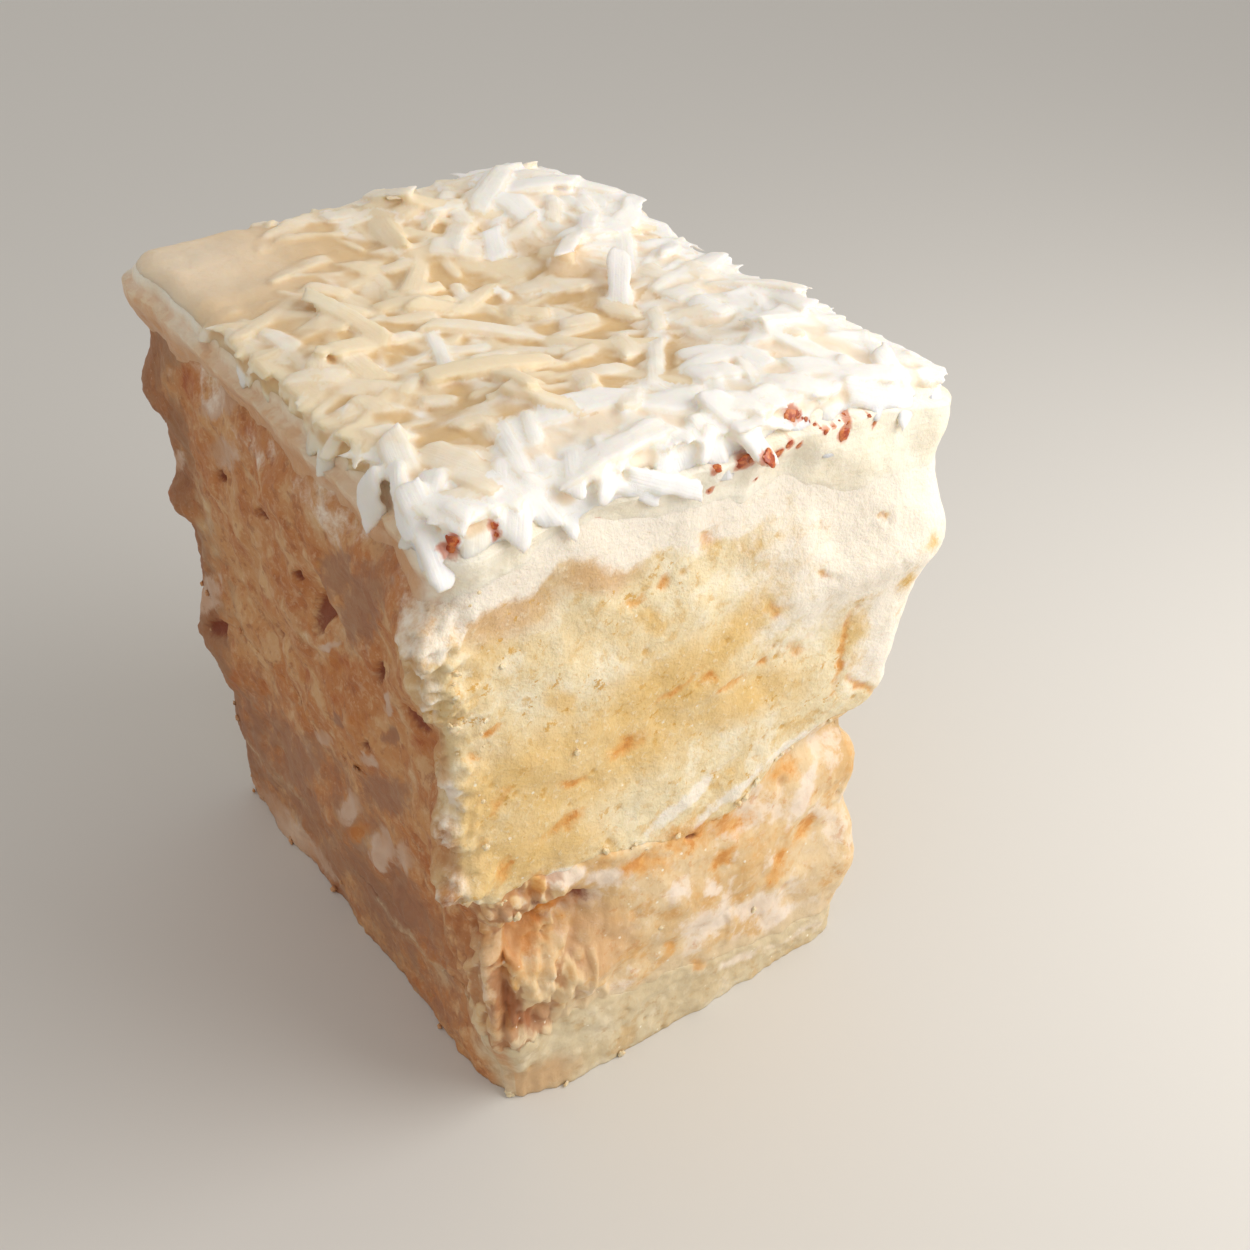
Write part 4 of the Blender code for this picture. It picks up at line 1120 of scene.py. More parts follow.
def edge_shreds(draw):
    """The solid's shreds on the rounded edge, from the same draws."""
    shares = [(i + draw.random()) / FRONT_EDGE_SHREDS / 4.0 for i in range(FRONT_EDGE_SHREDS)]
    others = [(i + draw.random()) / OTHER_EDGE_SHREDS for i in range(OTHER_EDGE_SHREDS)]
    shares += [0.25 + 0.75 * share for share in others]
    shreds = []
    for share in shares:
        turn = math.radians(draw.uniform(*EDGE_TURNS))
        place, normal = shoulder_point(share, turn)
        length, width, thickness = draw_size(draw, SHRED_SIZE)
        along = drawn_along(draw, normal)
        above_sponge = place.z - float(sponge_top(place.x, place.y)) - EDGE_CLEARANCE
        tallest = 2.0 * above_sponge / max(abs(along.z), 0.05)
        length = min(length * EDGE_SHARE, tallest)
        place = place - normal * SHRED_SINK
        if length > SHRED_SIZE[0][0] / 2.0:
            shreds.append(shred(place, along, normal, length, width, thickness, EDGE_BOW))
    return shreds


def marked_shreds():
    """The solid's shreds at marked places."""
    up = Vector((0.0, 0.0, 1.0))
    return [
        shred(middle, along, up, length, width, MARKED_THICKNESS, MARKED_BOW)
        for middle, along, length, width in MARKED_SHREDS
    ]


def named_shreds(cream):
    """The shreds that the photograph shows one by one, on top of the others."""
    shreds = []
    for x1, y1, z1, x2, y2, z2, width, bow, white in NAMED_SHREDS:
        start, end = Vector((x1, y1, z1)) * MM, Vector((x2, y2, z2)) * MM
        middle, along = (start + end) / 2.0, end - start
        length = along.length
        if min(z1, z2) > LEVEL_SHRED:
            heading = math.atan2(along.y, along.x)
            ray = EYE - middle
            for _ in range(3):  # up its own line of sight until it lies on the cream
                rise = float(cream.height(np.array(middle.x), np.array(middle.y))) - middle.z
                middle = middle + ray * (rise / ray.z)
            middle, along = cream.press_in(middle.x, middle.y, heading, length, NAMED_DEPTH)
            outward = Vector((0.0, 0.0, 1.0))
        else:
            in_front = x1 > -19.0
            outward = Vector((0.0, -1.0, 0.35) if in_front else (-0.8, -0.2, 0.5))
            middle = middle + outward.normalized() * (bow * MM - NAMED_THICKNESS / 2.0)
        shape = (length, width * MM, NAMED_THICKNESS, bow * MM)
        white *= 0.45 + 0.55 * float(white_zone(middle.x, middle.y))
        shreds.append(shred(middle, along, outward, *shape, white=white))
    return shreds


def under_shreds(draw, cream):
    """Smaller shreds, half sunk into the cream."""
    shreds = []
    for u, v in scattered(draw, UNDER_SPACING, (0.0, 1.0)):
        heading = draw.uniform(0.0, math.pi)
        length, width, thickness = draw_size(draw, UNDER_SIZE)
        bow, roll = draw.uniform(-0.0001, 0.0004), draw.uniform(-0.3, 0.3)
        bend, keep = draw.uniform(-0.0007, 0.0007), draw.random()
        x, y = held_inside(u, v, heading, length, 1.0)
        if keep < 1.1 * bump(x, y, *BARE_OF_UNDER_SHREDS):
            continue
        depth = thickness * draw.uniform(-0.15, 0.65)
        middle, along = cream.press_in(x, y, heading, length, depth)
        up = rolled(along, roll)
        white = min(1.0, float(white_zone(x, y)) * draw.uniform(0.70, 1.15))
        shreds.append(shred(middle, along, up, length, width, thickness, bow, bend, white))
    return shreds


def under_edge_shreds(draw):
    """More of the smaller shreds over the rounded edge, higher up on the left."""
    shreds = []
    for i in range(UNDER_EDGE_SHREDS):
        share = (i + draw.random()) / UNDER_EDGE_SHREDS
        turn = math.radians(draw.uniform(5.0 if share < 0.7 else 40.0, 80.0))
        place, normal = shoulder_point(share, turn)
        length, width = draw_size(draw, (UNDER_EDGE_LENGTH, UNDER_SIZE[1]))
        along = drawn_along(draw, normal)
        white = draw.uniform(0.5, 0.9)
        if share < 0.25:  # in front
            white = 0.95
        elif share > 0.75:  # on the left, less white: painted shade
            white *= 0.55
        place = place - normal * SHRED_SINK
        shape = (length, width, *UNDER_EDGE_FORM)
        shreds.append(shred(place, along, normal, *shape, white=white))
    return shreds


def off_the_bare_corner(shreds):
    """The shreds without those that reach the back left corner, where the cream is smooth."""
    table = np.array(shreds)
    middle, along, length = table[:, 0:3], table[:, 3:6], table[:, 12:13]
    reached = np.zeros(len(table))
    for share in (-0.5, 0.0, 0.5):
        x, y, _ = (middle + along * length * share).T
        reached = np.maximum(reached, bump(x, y, *BARE_OF_ENDS))
    return table[reached < 0.35]


def shred_faces(count):
    """The faces of a number of shreds: quads along each, and one face at either end."""
    rows, round_it = len(SHRED_ROWS), len(SHRED_SECTION)
    ring = np.arange(round_it)
    quads = []
    for row in range(rows - 1):
        near, far = row * round_it + ring, (row + 1) * round_it + ring
        quads.append(np.stack([near, np.roll(near, -1), np.roll(far, -1), far], -1))
    quads = np.concatenate(quads)
    faces = []
    for first in range(0, count * rows * round_it, rows * round_it):
        faces += (first + quads).tolist()
        faces.append((first + ring[::-1]).tolist())
        faces.append((first + (rows - 1) * round_it + ring).tolist())
    return faces


def shred_mesh(table, draw, cream):
    """All shreds as one mesh: bowed flakes with torn edges, and masks for their whiteness."""
    count = len(table)
    middle, along, across, up = (table[:, None, None, i : i + 3] for i in (0, 3, 6, 9))
    length, width, thickness, bow, bend, white = (table[:, i, None, None] for i in range(12, 18))
    share = np.array(SHRED_ROWS)[None, :, None]
    section = np.array(SHRED_SECTION)[None, None]

    def drawn(low, high):
        return np.array([draw.uniform(low, high) for _ in range(count)])[:, None, None]

    def torn():
        """One torn edge: how wide the flake is on that side, along its length."""
        slow, quick = drawn(0.03, 0.16), drawn(0.03, 0.15)
        first, second = drawn(0.0, 6.3), drawn(0.0, 6.3)
        return 1.0 + slow * np.sin(6.0 * share + first) + quick * np.sin(19.0 * share + second)

    def tapered(sign):
        """Narrowing towards one end, to a point or a blunt cut."""
        reach, left_over = drawn(0.06, 0.32), drawn(0.50, 1.0)
        run = np.clip((2.0 * sign * share - (1.0 - reach)) / reach, 0.0, 1.0)
        return 1.0 - (1.0 - left_over) * run**1.2

    # Each ring of points lies across the shred, and is widened, turned, cupped and bowed
    phase, slant = drawn(0.0, 6.3), drawn(-0.9, 0.9)
    twist, cup = drawn(-0.45, 0.45), drawn(-0.25, 0.35)
    ends = tapered(1.0) * tapered(-1.0)
    one_side, other_side = torn(), torn()
    half = width / 2.0 * ends * np.where(section[..., 0] > 0.0, one_side, other_side)
    flat = half * section[..., 0]
    thin = 1.0 - 0.40 * np.abs(2.0 * share) ** 8
    lift = thickness / 2.0 * thin * section[..., 1]
    turned = twist * share * 2.0
    side = flat * np.cos(turned) - lift * np.sin(turned)
    rise = flat * np.sin(turned) + lift * np.cos(turned) + thickness / 2.0
    rise = rise + cup * flat**2 / width
    curve = 4.0 * share * share
    forward = share * length + slant * flat * np.abs(2.0 * share) ** 3
    rise = rise - bow * curve
    side = side + bend * curve
    points = middle + along * forward[..., None] + across * side[..., None] + up * rise[..., None]
    above = points[..., 2] - cream.height(points[..., 0], points[..., 1])
    points[..., 2] -= SUNK * np.maximum(above, 0.0)

    full = np.zeros(points.shape[:3])
    rim = np.maximum(np.abs(section[..., 0]) >= 1.0, np.abs(2.0 * share) >= 1.0)
    masks = {
        "white": white,
        "across": flat / MM,
        "tip": np.abs(2.0 * share),
        "rim": rim,
        "shred": phase,
    }
    masks = {label: (values + full).reshape(-1) for label, values in masks.items()}
    return points.reshape(-1, 3), shred_faces(count), masks


def coconut_skin(shreds, draw, cream, surface):
    """The shreds and the cream that holds them, as one skin with masks."""
    vertices, faces, masks = shred_mesh(shreds, draw, cream)
    points, normal = (part[BAND_ROWS + 1 :] for part in surface)
    turn = normal[..., 2]
    proud = 0.00012 - 0.00050 * smooth_step(0.70, 0.25, turn)
    points = points + normal * proud[..., None]
    foot = points[:1] * np.array([HOLDER_INSET, HOLDER_INSET, 0.0])
    points = np.concatenate([foot + np.array([0.0, 0.0, SKIN_FLOOR]), points])
    holder, _ = with_ends(points, {})
    holder_faces = grid_faces(len(points), points.shape[1])
    shift = len(vertices)
    both = np.concatenate([vertices, holder])
    all_faces = faces + [[i + shift for i in face] for face in holder_faces]
    skin, quads = fused(both, all_faces)
    on_cream = {label: np.zeros(len(holder)) for label in masks}
    on_cream["white"] = white_zone(holder[:, 0], holder[:, 1])
    masks = {label: np.concatenate([masks[label], on_cream[label]]) for label in masks}
    masks["clear"] = np.concatenate([np.ones(shift), np.zeros(len(holder))])
    masks = carried_over(skin, both, all_faces, masks)
    tree = BVHTree.FromPolygons(holder.tolist(), holder_faces)
    away = np.array([tree.find_nearest(point)[3] for point in skin.tolist()])
    masks["clear"] *= smooth_step(0.0, CLEAR_OF_CREAM, away)
    return skin, quads, masks


def seen_on(places, meshes):
    """Where the camera's line through each place meets the first of the meshes, and its normal."""
    trees = [BVHTree.FromPolygons(vertices.tolist(), faces) for vertices, faces in meshes]
    found = []
    for place in places:
        ahead = (Vector(place) - EYE).normalized()
        hits = [tree.ray_cast(EYE, ahead) for tree in trees]
        found.append(min((hit for hit in hits if hit[0]), key=lambda hit: hit[3])[:2])
    return found


# Crumbs and syrup ------------------------------------------------------------------------------


def lump_mesh(lumps_wanted, draw, roughness, flatness):
    """Rough lumps as one mesh, each flattened along its normal. Each is (place, normal, radius,
    value), and the value becomes its mask."""
    ball = bmesh.new()
    bmesh.ops.create_icosphere(ball, subdivisions=LUMP_DETAIL, radius=1.0)
    shape = np.array([tuple(v.co) for v in ball.verts])
    corners = np.array([[v.index for v in f.verts] for f in ball.faces])
    ball.free()
    vertices, faces, values = [], [], []
    for place, normal, radius, value in lumps_wanted:
        stretch = np.array([draw.uniform(0.7, 1.3) for _ in range(3)])
        turn = np.array(Matrix.Rotation(draw.uniform(0.0, 6.3), 3, (0.3, 0.5, 0.8)))
        offset = draw.uniform(0.0, 50.0)
        rough = [noise.noise(p) for p in (shape * 1.1 + offset).tolist()]
        finer = [noise.noise(p) for p in (shape * 2.7 + offset).tolist()]
        swell = 1.0 + roughness * (np.array(rough) + 0.6 * np.array(finer))
        points = (shape * swell[:, None] * stretch) @ turn.T * radius
        points -= flatness * np.outer(points @ np.array(normal), np.array(normal))
        faces += (corners + len(vertices) * len(shape)).tolist()
        vertices.append(points + np.array(place))
        values.append(np.full(len(shape), value))
    return np.concatenate(vertices), faces, np.concatenate(values)


def crumb_places(draw):
    """Crumbs along the torn edges and a few on the faces: place, outward, radius and how pale each
    is, less than 0 for one on the left face, brown like that face: partly its own brown, partly
    painted shade."""
    places = []

    def drop(share, z, radius, proud, low, high):
        share %= 1.0
        point, out = wall(share, z)
        on_left = 0.74 < share < 0.975
        tone = draw.uniform(low, high) * (-1.0 if on_left else 1.0)
        places.append((point + out * proud, out, radius, tone))

    for _ in range(TORN_EDGE_CRUMBS):
        share, z = draw.gauss(-0.0010, 0.0050), draw.uniform(0.0245, 0.0570)
        radius = draw.uniform(0.00008, 0.00018) + 0.00026 * draw.random() ** 5
        proud = 0.0004 + draw.uniform(-0.5, 0.5) * radius
        if noise.noise((share % 1.0 * 4.0, 0.5, z / 0.0022)) > 0.1:  # in clusters
            drop(share, z, radius, proud, 0.6, 1.0)
    for _ in range(EDGE_CRUMBS):
        share = draw.choice((0.25, 0.5, 0.75)) + draw.gauss(-0.001, 0.004)
        drop(share, draw.uniform(0.001, 0.050), draw.uniform(0.00012, 0.00030), 0.0, 0.6, 1.0)
    for _ in range(SEAM_CRUMBS):
        share = draw.random()
        point, _ = wall(share, 0.030)
        z = float(filling_top(point[0], point[1])) + draw.gauss(0.0006, 0.0005)
        drop(share, z, draw.uniform(0.00012, 0.00032), 0.0001, 0.5, 1.0)
    for _ in range(FACE_CRUMBS):
        drop(draw.random(), draw.uniform(0.001, 0.050), draw.uniform(0.0001, 0.0003), 0.0, 0.6, 1.0)
    for _ in range(FOOT_CRUMBS):
        radius = draw.uniform(0.0002, 0.0005)
        drop(draw.random(), radius, radius, 0.0002, 0.5, 1.0)
    return places


# Materials -------------------------------------------------------------------------------------


def srgb(red, green, blue):
    """A colour as seen on screen, 0 to 255, in the shader's linear values."""
    values = [c / 255.0 for c in (red, green, blue)]
    linear = [c / 12.92 if c <= 0.04045 else ((c + 0.055) / 1.055) ** 2.4 for c in values]
    return (*linear, 1.0)


class Finish:
    """A material on the Principled shader, and short ways to make its nodes. Colours are given as
    seen on screen, 0 to 255."""

    def __init__(self, name, roughness, subsurface, subsurface_scale, radius=(1.0, 0.62, 0.36)):
        self.material = bpy.data.materials.new(name)
        self.material.use_nodes = True
        self.tree = self.material.node_tree
        self.shader = self.tree.nodes["Principled BSDF"]
        self.shader.inputs["Roughness"].default_value = roughness
        self.shader.inputs["Subsurface Weight"].default_value = subsurface
        self.shader.inputs["Subsurface Radius"].default_value = radius
        self.shader.inputs["Subsurface Scale"].default_value = subsurface_scale
        self.place = self.node("TexCoord", "Object", {})

    def feed(self, socket, value):
        """Joins another node's output to a socket, or sets a constant or a colour on it."""
        if isinstance(value, bpy.types.NodeSocket):
            self.tree.links.new(value, socket)
        else:
            socket.default_value = srgb(*value) if socket.type == "RGBA" else value

    def node(self, kind, output, inputs, **settings):
        """A node with its settings and inputs. Gives the output that is asked for."""
        node = self.tree.nodes.new("ShaderNode" + kind)
        for name, value in settings.items():
            setattr(node, name, value)
        for label, value in inputs.items():
            self.feed(node.inputs[label], value)
        return node.outputs[output]

    def mask(self, name):
        """A mask that the mesh carries."""
        return self.node("Attribute", "Fac", {}, attribute_name=name)

    def stretched(self, x, y, z, turn=0.0):
        """The place, scaled along each axis and turned about Y."""
        inputs = {"Vector": self.place, "Rotation": (0.0, turn, 0.0), "Scale": (x, y, z)}
        return self.node("Mapping", "Vector", inputs)

    def speckle(self, size, detail=3.0, roughness=0.55, place=None):
        """Noise about 0.5 with lumps of a size in metres."""
        inputs = {"Vector": place or self.place, "Scale": 1.0 / size}
        inputs.update({"Detail": detail, "Roughness": roughness})
        return self.node("TexNoise", "Fac", inputs)

    def warped(self, amount, size):
        """The place, pushed about by noise, for patches with irregular outlines."""
        noisy = self.node("TexNoise", "Color", {"Vector": self.place, "Scale": 1.0 / size})
        inputs = {0: noisy, 1: (amount, amount, amount), 2: self.place}
        return self.node("VectorMath", "Vector", inputs, operation="MULTIPLY_ADD")

    def cells(self, size):
        """Distance to the nearest of scattered points, in cells of a size."""
        inputs = {"Vector": self.place, "Scale": 1.0 / size}
        return self.node("TexVoronoi", "Distance", inputs)

    def combine(self, operation, first, second):
        """An operation on two values."""
        return self.node("Math", "Value", {0: first, 1: second}, operation=operation)

    def product(self, first, *others):
        """All the values multiplied."""
        for other in others:
            first = self.combine("MULTIPLY", first, other)
        return first

    def between(self, value, low, high, bottom=0.0, top=1.0):
        """Maps low to bottom and high to top, smoothly, and no further."""
        inputs = {"Value": value, "From Min": low, "From Max": high}
        inputs.update({"To Min": bottom, "To Max": top})
        return self.node("MapRange", "Result", inputs, interpolation_type="SMOOTHSTEP")

    def mix(self, amount, first, second):
        """From the first colour to the second by the amount."""
        inputs = {"Factor": amount, 6: first, 7: second}  # 6 and 7 are the colours A and B
        return self.node("Mix", 2, inputs, data_type="RGBA")

    def broken(self, mask, speckle, amount, most, soft):
        """A mask whose edge is broken up by a speckle."""
        moved = self.product(self.combine("SUBTRACT", speckle, 0.5), amount)
        moved = self.product(moved, self.between(mask, 0.0, 0.3))
        return self.between(self.combine("ADD", mask, moved), 0.5 - soft, 0.5 + soft, 0.0, most)

    def mottled(self, colour, *tones):
        """A colour with tones over it, each where a value lies past a range: (value, from, to,
        most, tone)."""
        for value, low, high, most, tone in tones:
            colour = self.mix(self.between(value, low, high, 0.0, most), colour, tone)
        return colour

    def marked(self, colour, *marks):
        """A colour with masked marks over it, their edges broken up: (mask's name, speckle, how
        much it breaks them, most, softness, tone)."""
        for name, speckle, amount, most, soft, tone in marks:
            mask = self.broken(self.mask(name), speckle, amount, most, soft)
            colour = self.mix(mask, colour, tone)
        return colour

    def bumps(self, *layers):
        """Fine relief, layer on layer: (height, distance, strength)."""
        inputs = {}
        for height, distance, strength in layers:
            inputs.update({"Height": height, "Distance": distance, "Strength": strength})
            inputs["Normal"] = self.node("Bump", "Normal", inputs)
        return inputs["Normal"]

    def finish(self, colour, roughness, normal):
        """The material. Without a roughness it keeps the one it was made with."""
        self.feed(self.shader.inputs["Base Color"], colour)
        self.feed(self.shader.inputs["Normal"], normal)
        if roughness is not None:
            self.feed(self.shader.inputs["Roughness"], roughness)
        return self.material


def soaked_and_shaded_crumb(f, cloud, patch, grain, crumbly):
    """The brown of the left face, partly the crumb's own and partly painted shade, with more
    painted shade making it darker towards its back.
    """
    brown = f.mottled(
        f.mix(f.between(cloud, 0.40, 0.60), (196, 128, 72), (208, 152, 98)),
        (patch, 0.50, 0.62, 0.60, (224, 186, 138)),
        (patch, 0.46, 0.34, 0.60, (178, 102, 50)),
        (grain, 0.46, 0.34, 0.50, (154, 84, 42)),
        (grain, 0.56, 0.68, 0.40, (226, 188, 150)),
        (crumbly, 0.54, 0.64, 0.35, (226, 190, 152)),
    )
    # Painted shade: darker towards the back of the left face
    return f.marked(brown, ("deep", patch, 2.4, 0.75, 0.50, (146, 96, 64)))


def moist_glints(f, patch, soak_and_shade):
    """Where the crumb glistens: small spots, in places, and fewer on the brown left face. Where
    they are used, their roughness is lowered and their colour lightened as a painted highlight.
    """
    return f.product(
        f.between(f.cells(0.0010), 0.16, 0.10),
        f.between(patch, 0.58, 0.46, 0.0, 0.75),
        f.between(f.speckle(0.0018, 2.0), 0.50, 0.58),
        f.between(soak_and_shade, 0.2, 0.6, 1.0, 0.3),
    )


def cut_face(name, pale, deep, light, rich, pore, fading, smear, coarse, moist):
    """Sponge or filling as cut: mottled, with pores, stains and the brown left face, partly its own
    brown and partly painted shade. The pits, the corner's pockets and furrows and the back of the
    left face are darkened with painted shade, and strands and glints lightened with painted
    highlights.
    """
    f = Finish(name, 0.6, 0.18, 0.0010, (1.0, 0.74, 0.46))
    near, wide = f.warped(0.0006, 0.0009), f.warped(0.0020, 0.0035)
    cloud, patch = f.speckle(0.0090, 4.0), f.speckle(0.0034, 6.0, 0.62, wide)
    grain, dust = f.speckle(0.0013, 5.0, 0.62, near), f.speckle(0.00040, 2.0)
    torn, crumbly = f.speckle(0.0017, 7.0, 0.70, near), f.speckle(0.00055, 4.0, 0.70)
    soak_and_shade = f.mask("soak_and_shade")
    colour = f.mottled(
        f.mix(f.between(cloud, 0.36, 0.66), pale, deep),
        (patch, 0.50, 0.62, 0.75, light),
        (patch, 0.46, 0.34, 0.75, rich),
        (grain, 0.58, 0.68, 0.50 * coarse, light),
        (grain, 0.42, 0.34, 0.60 * coarse, rich),
    )
    colour = f.marked(
        colour,
        ("tan", patch, 0.9, 0.80, 0.40, (214, 174, 128)),
        ("gold", patch, 1.6, 0.75, 0.50, (228, 188, 112)),
    )
    colour = f.mottled(
        colour,
        (crumbly, 0.56, 0.66, 0.35 * coarse, light),
        (crumbly, 0.44, 0.34, 0.35 * coarse, rich),
    )
    spotty = f.between(f.speckle(0.0060, 3.0), 0.44, 0.58, 0.15, 1.0)
    flecks = f.combine("MAXIMUM", f.between(torn, 0.59, 0.625), f.between(torn, 0.40, 0.365))
    colour = f.mix(f.product(flecks, spotty, 0.85 * coarse), colour, pore)
    # The brown left face: partly the crumb's own brown, partly painted shade
    brown = soaked_and_shaded_crumb(f, cloud, patch, grain, crumbly)
    colour = f.mix(f.between(soak_and_shade, 0.05, 0.75), colour, brown)
    # Painted shade: purplish brown on the left face
    colour = f.marked(colour, ("mauve", torn, 2.0, 0.75, 0.40, (160, 113, 86)))
    # Painted shade: the pits darker, in the pore tone
    colour = f.mottled(colour, (f.mask("pore"), 0.10, 0.95, 0.70, pore))
    stain = f.broken(f.mask("orange"), torn, 2.6, 0.80, 0.50)
    colour = f.mix(stain, colour, f.mix(soak_and_shade, (227, 164, 80), (186, 108, 58)))
    heart = f.between(f.product(stain, torn), 0.34, 0.50, 0.0, 0.60)
    colour = f.mix(heart, colour, f.mix(soak_and_shade, (209, 133, 54), (162, 78, 34)))
    colour = f.marked(
        colour,
        ("pale", torn, 2.0, 0.80, 0.30, f.mix(soak_and_shade, smear, (200, 156, 122))),
        ("faded", torn, 2.2, 0.95, 0.45, fading),
        ("amber", torn, 2.0, 0.85, 0.45, (204, 126, 40)),
        # Painted shade in the pockets at the front left corner
        ("brown", grain, 0.9, 0.85, 0.40, (158, 94, 58)),
    )
    # Painted highlight on the filling's strands, and painted shade, brown, in the furrows between
    # them at the front corner
    colour = f.mottled(
        colour,
        (f.mask("ridge"), 0.20, 1.20, 0.45, pale),
        (f.mask("groove_painted_shade"), 0.05, 0.80, 0.60, (174, 108, 60)),
    )
    colour = f.marked(colour, ("rust", dust, 0.8, 0.90, 0.40, (136, 58, 26)))
    glint = moist_glints(f, patch, soak_and_shade)
    # Painted highlight: the glints' colour lightened towards white, and only towards a light tan on
    # the brown left face
    colour = f.mix(glint, colour, f.mix(soak_and_shade, (255, 248, 230), (230, 190, 150)))
    normal = f.bumps(
        (grain, 0.00014 * coarse, 0.7),
        (f.speckle(0.00055, 4.0, 0.65), 0.00017 * coarse, 0.8),
        (f.speckle(0.00022, 3.0), 0.00008 * coarse, 0.6),
    )
    f.shader.inputs["Specular IOR Level"].default_value = 0.45
    return f.finish(colour, f.between(glint, 0.0, 0.5, 0.58, moist), normal)


def frosting_finish():
    """White cream, painted yellower and darker on its top, between the coconut, as painted shade,
    and browner on the left, partly its own colour and partly painted shade.
    """
    f = Finish("cream_frosting", 0.42, 0.30, 0.0012, (1.0, 0.78, 0.56))
    cloud, grain = f.speckle(0.0060, 4.0), f.speckle(0.0012, 3.0)
    shift = f.between(cloud, 0.35, 0.65)
    # Painted shade: the cream on top, between the coconut, yellower and darker than the bare cream
    deep = f.mix(shift, (240, 216, 172), (230, 200, 150))
    bare = f.mix(shift, (254, 245, 227), (251, 238, 214))
    colour = f.mix(f.mask("bare"), deep, bare)
    colour = f.mottled(colour, (grain, 0.5, 0.8, 0.6, (250, 242, 228)))
    soaked_and_shaded_cream = f.mix(f.between(grain, 0.4, 0.6), (227, 183, 140), (237, 207, 170))
    # Browner on the left, partly its own colour and partly painted shade, and more so lower down
    # there; the syrup is a stain
    colour = f.marked(
        colour,
        ("soak_and_shade", cloud, 0.5, 1.0, 0.40, soaked_and_shaded_cream),
        ("low", grain, 1.4, 0.85, 0.50, (216, 164, 118)),
        ("syrup", grain, 1.4, 0.75, 0.40, (206, 100, 44)),
    )
    normal = f.bumps(
        (f.speckle(0.0011, 5.0, 0.62), 0.00022, 0.7),
        (f.speckle(0.0007, 3.0, 0.5, f.stretched(0.35, 1.0, 1.6, 0.55)), 0.00015, 0.6),
        (f.speckle(0.00045, 4.0, 0.65), 0.00012, 0.7),
    )
    return f.finish(colour, f.between(grain, 0.3, 0.7, 0.5, 0.32), normal)


def coconut_finish():
    """Coconut flesh, waxy and translucent with a faint grain, and the cream that holds it. Painted
    shade darkens the cream between the shreds and the flakes' edges, and partly browns the left.
    """
    f = Finish("coconut", 0.50, 0.55, 0.0016, (1.0, 0.76, 0.50))
    grain, cloud = f.speckle(0.0007, 3.0), f.speckle(0.0035, 3.0)
    zone = f.combine("ADD", f.mask("white"), f.between(cloud, 0.3, 0.7, -0.12, 0.12))
    own = f.combine("SUBTRACT", f.product(f.mask("shred"), 0.07), 0.22)
    tone = f.combine("ADD", zone, own)
    flesh = f.mix(f.between(tone, 0.15, 0.90), (242, 224, 192), (252, 247, 241))
    # The flakes darker and beige at their torn edges: partly the thin, translucent edge, partly
    # painted shade that outlines each flake
    edge = f.mix(f.between(zone, 0.35, 0.95), (234, 208, 164), (240, 225, 200))
    flesh = f.mottled(flesh, (f.mask("rim"), 0.35, 1.0, 0.40, edge))
    # Painted shade: the cream between the shreds, darker and yellower than they are
    cream = f.mix(f.between(zone, 0.30, 0.85), (220, 186, 135), (245, 229, 206))
    colour = f.mix(f.between(f.mask("clear"), 0.04, 0.65), cream, flesh)
    colour = f.mix(f.mask("bare"), colour, (236, 217, 190))
    # Browner on the left, partly its own colour and partly painted shade; the syrup is a stain
    colour = f.marked(
        colour,
        ("soak_and_shade", cloud, 0.5, 1.0, 0.40, (214, 178, 142)),
        ("syrup", grain, 1.4, 0.75, 0.40, (206, 96, 34)),
    )
    lines = {"X": f.product(f.mask("across"), 5.0), "Y": f.mask("shred"), "Z": f.mask("tip")}
    lines = f.node("CombineXYZ", "Vector", lines)
    fibre = f.node("TexNoise", "Fac", {"Vector": lines, "Scale": 1.0})
    fibres = f.product(fibre, f.mask("clear"))
    normal = f.bumps((fibres, 0.00008, 0.5), (grain, 0.00010, 0.6))
    return f.finish(colour, f.between(grain, 0.3, 0.7, 0.55, 0.35), normal)


def crumb_finish():
    """Loose crumb, as pale or as brown as its masks say."""
    f = Finish("sponge_crumb", 0.7, 0.30, 0.0010)
    grain = f.speckle(0.0005, 3.0)
    colour = f.mix(f.mask("paleness"), (226, 190, 140), (243, 228, 198))
    colour = f.mix(f.between(grain, 0.35, 0.7, 0.5, 0.0), colour, (226, 190, 134))
    # Brown on the left face: partly the crumb's own brown, partly painted shade
    colour = f.mix(f.mask("soak_and_shade"), colour, (200, 150, 110))
    return f.finish(colour, None, f.bumps((f.speckle(0.0003, 3.0), 0.00015, 0.9)))


def syrup_finish():
    """Syrup, mottled and a little glossy."""
    f = Finish("red_brown_syrup", 0.30, 0.25, 0.0006, (1.0, 0.50, 0.30))
    grain = f.speckle(0.0005, 3.0)
    colour = f.mix(f.between(grain, 0.4, 0.6), (170, 66, 28), (216, 124, 66))
    return f.finish(colour, None, f.bumps((grain, 0.00010, 0.5)))


# Scene -----------------------------------------------------------------------------------------


def area_light(name, place, size, power, colour):
    """A round light, aimed at the cake and not seen itself."""
    data = bpy.data.lights.new(name, "AREA")
    data.shape = "DISK"
    data.size = size
    data.energy = power
    data.color = colour
    light = bpy.data.objects.new(name, data)
    light.location = place
    light.visible_camera = False
    aim = Vector((0.0, 0.0, 0.03)) - Vector(place)
    light.rotation_euler = aim.to_track_quat("-Z", "Y").to_euler()
    bpy.context.scene.collection.objects.link(light)


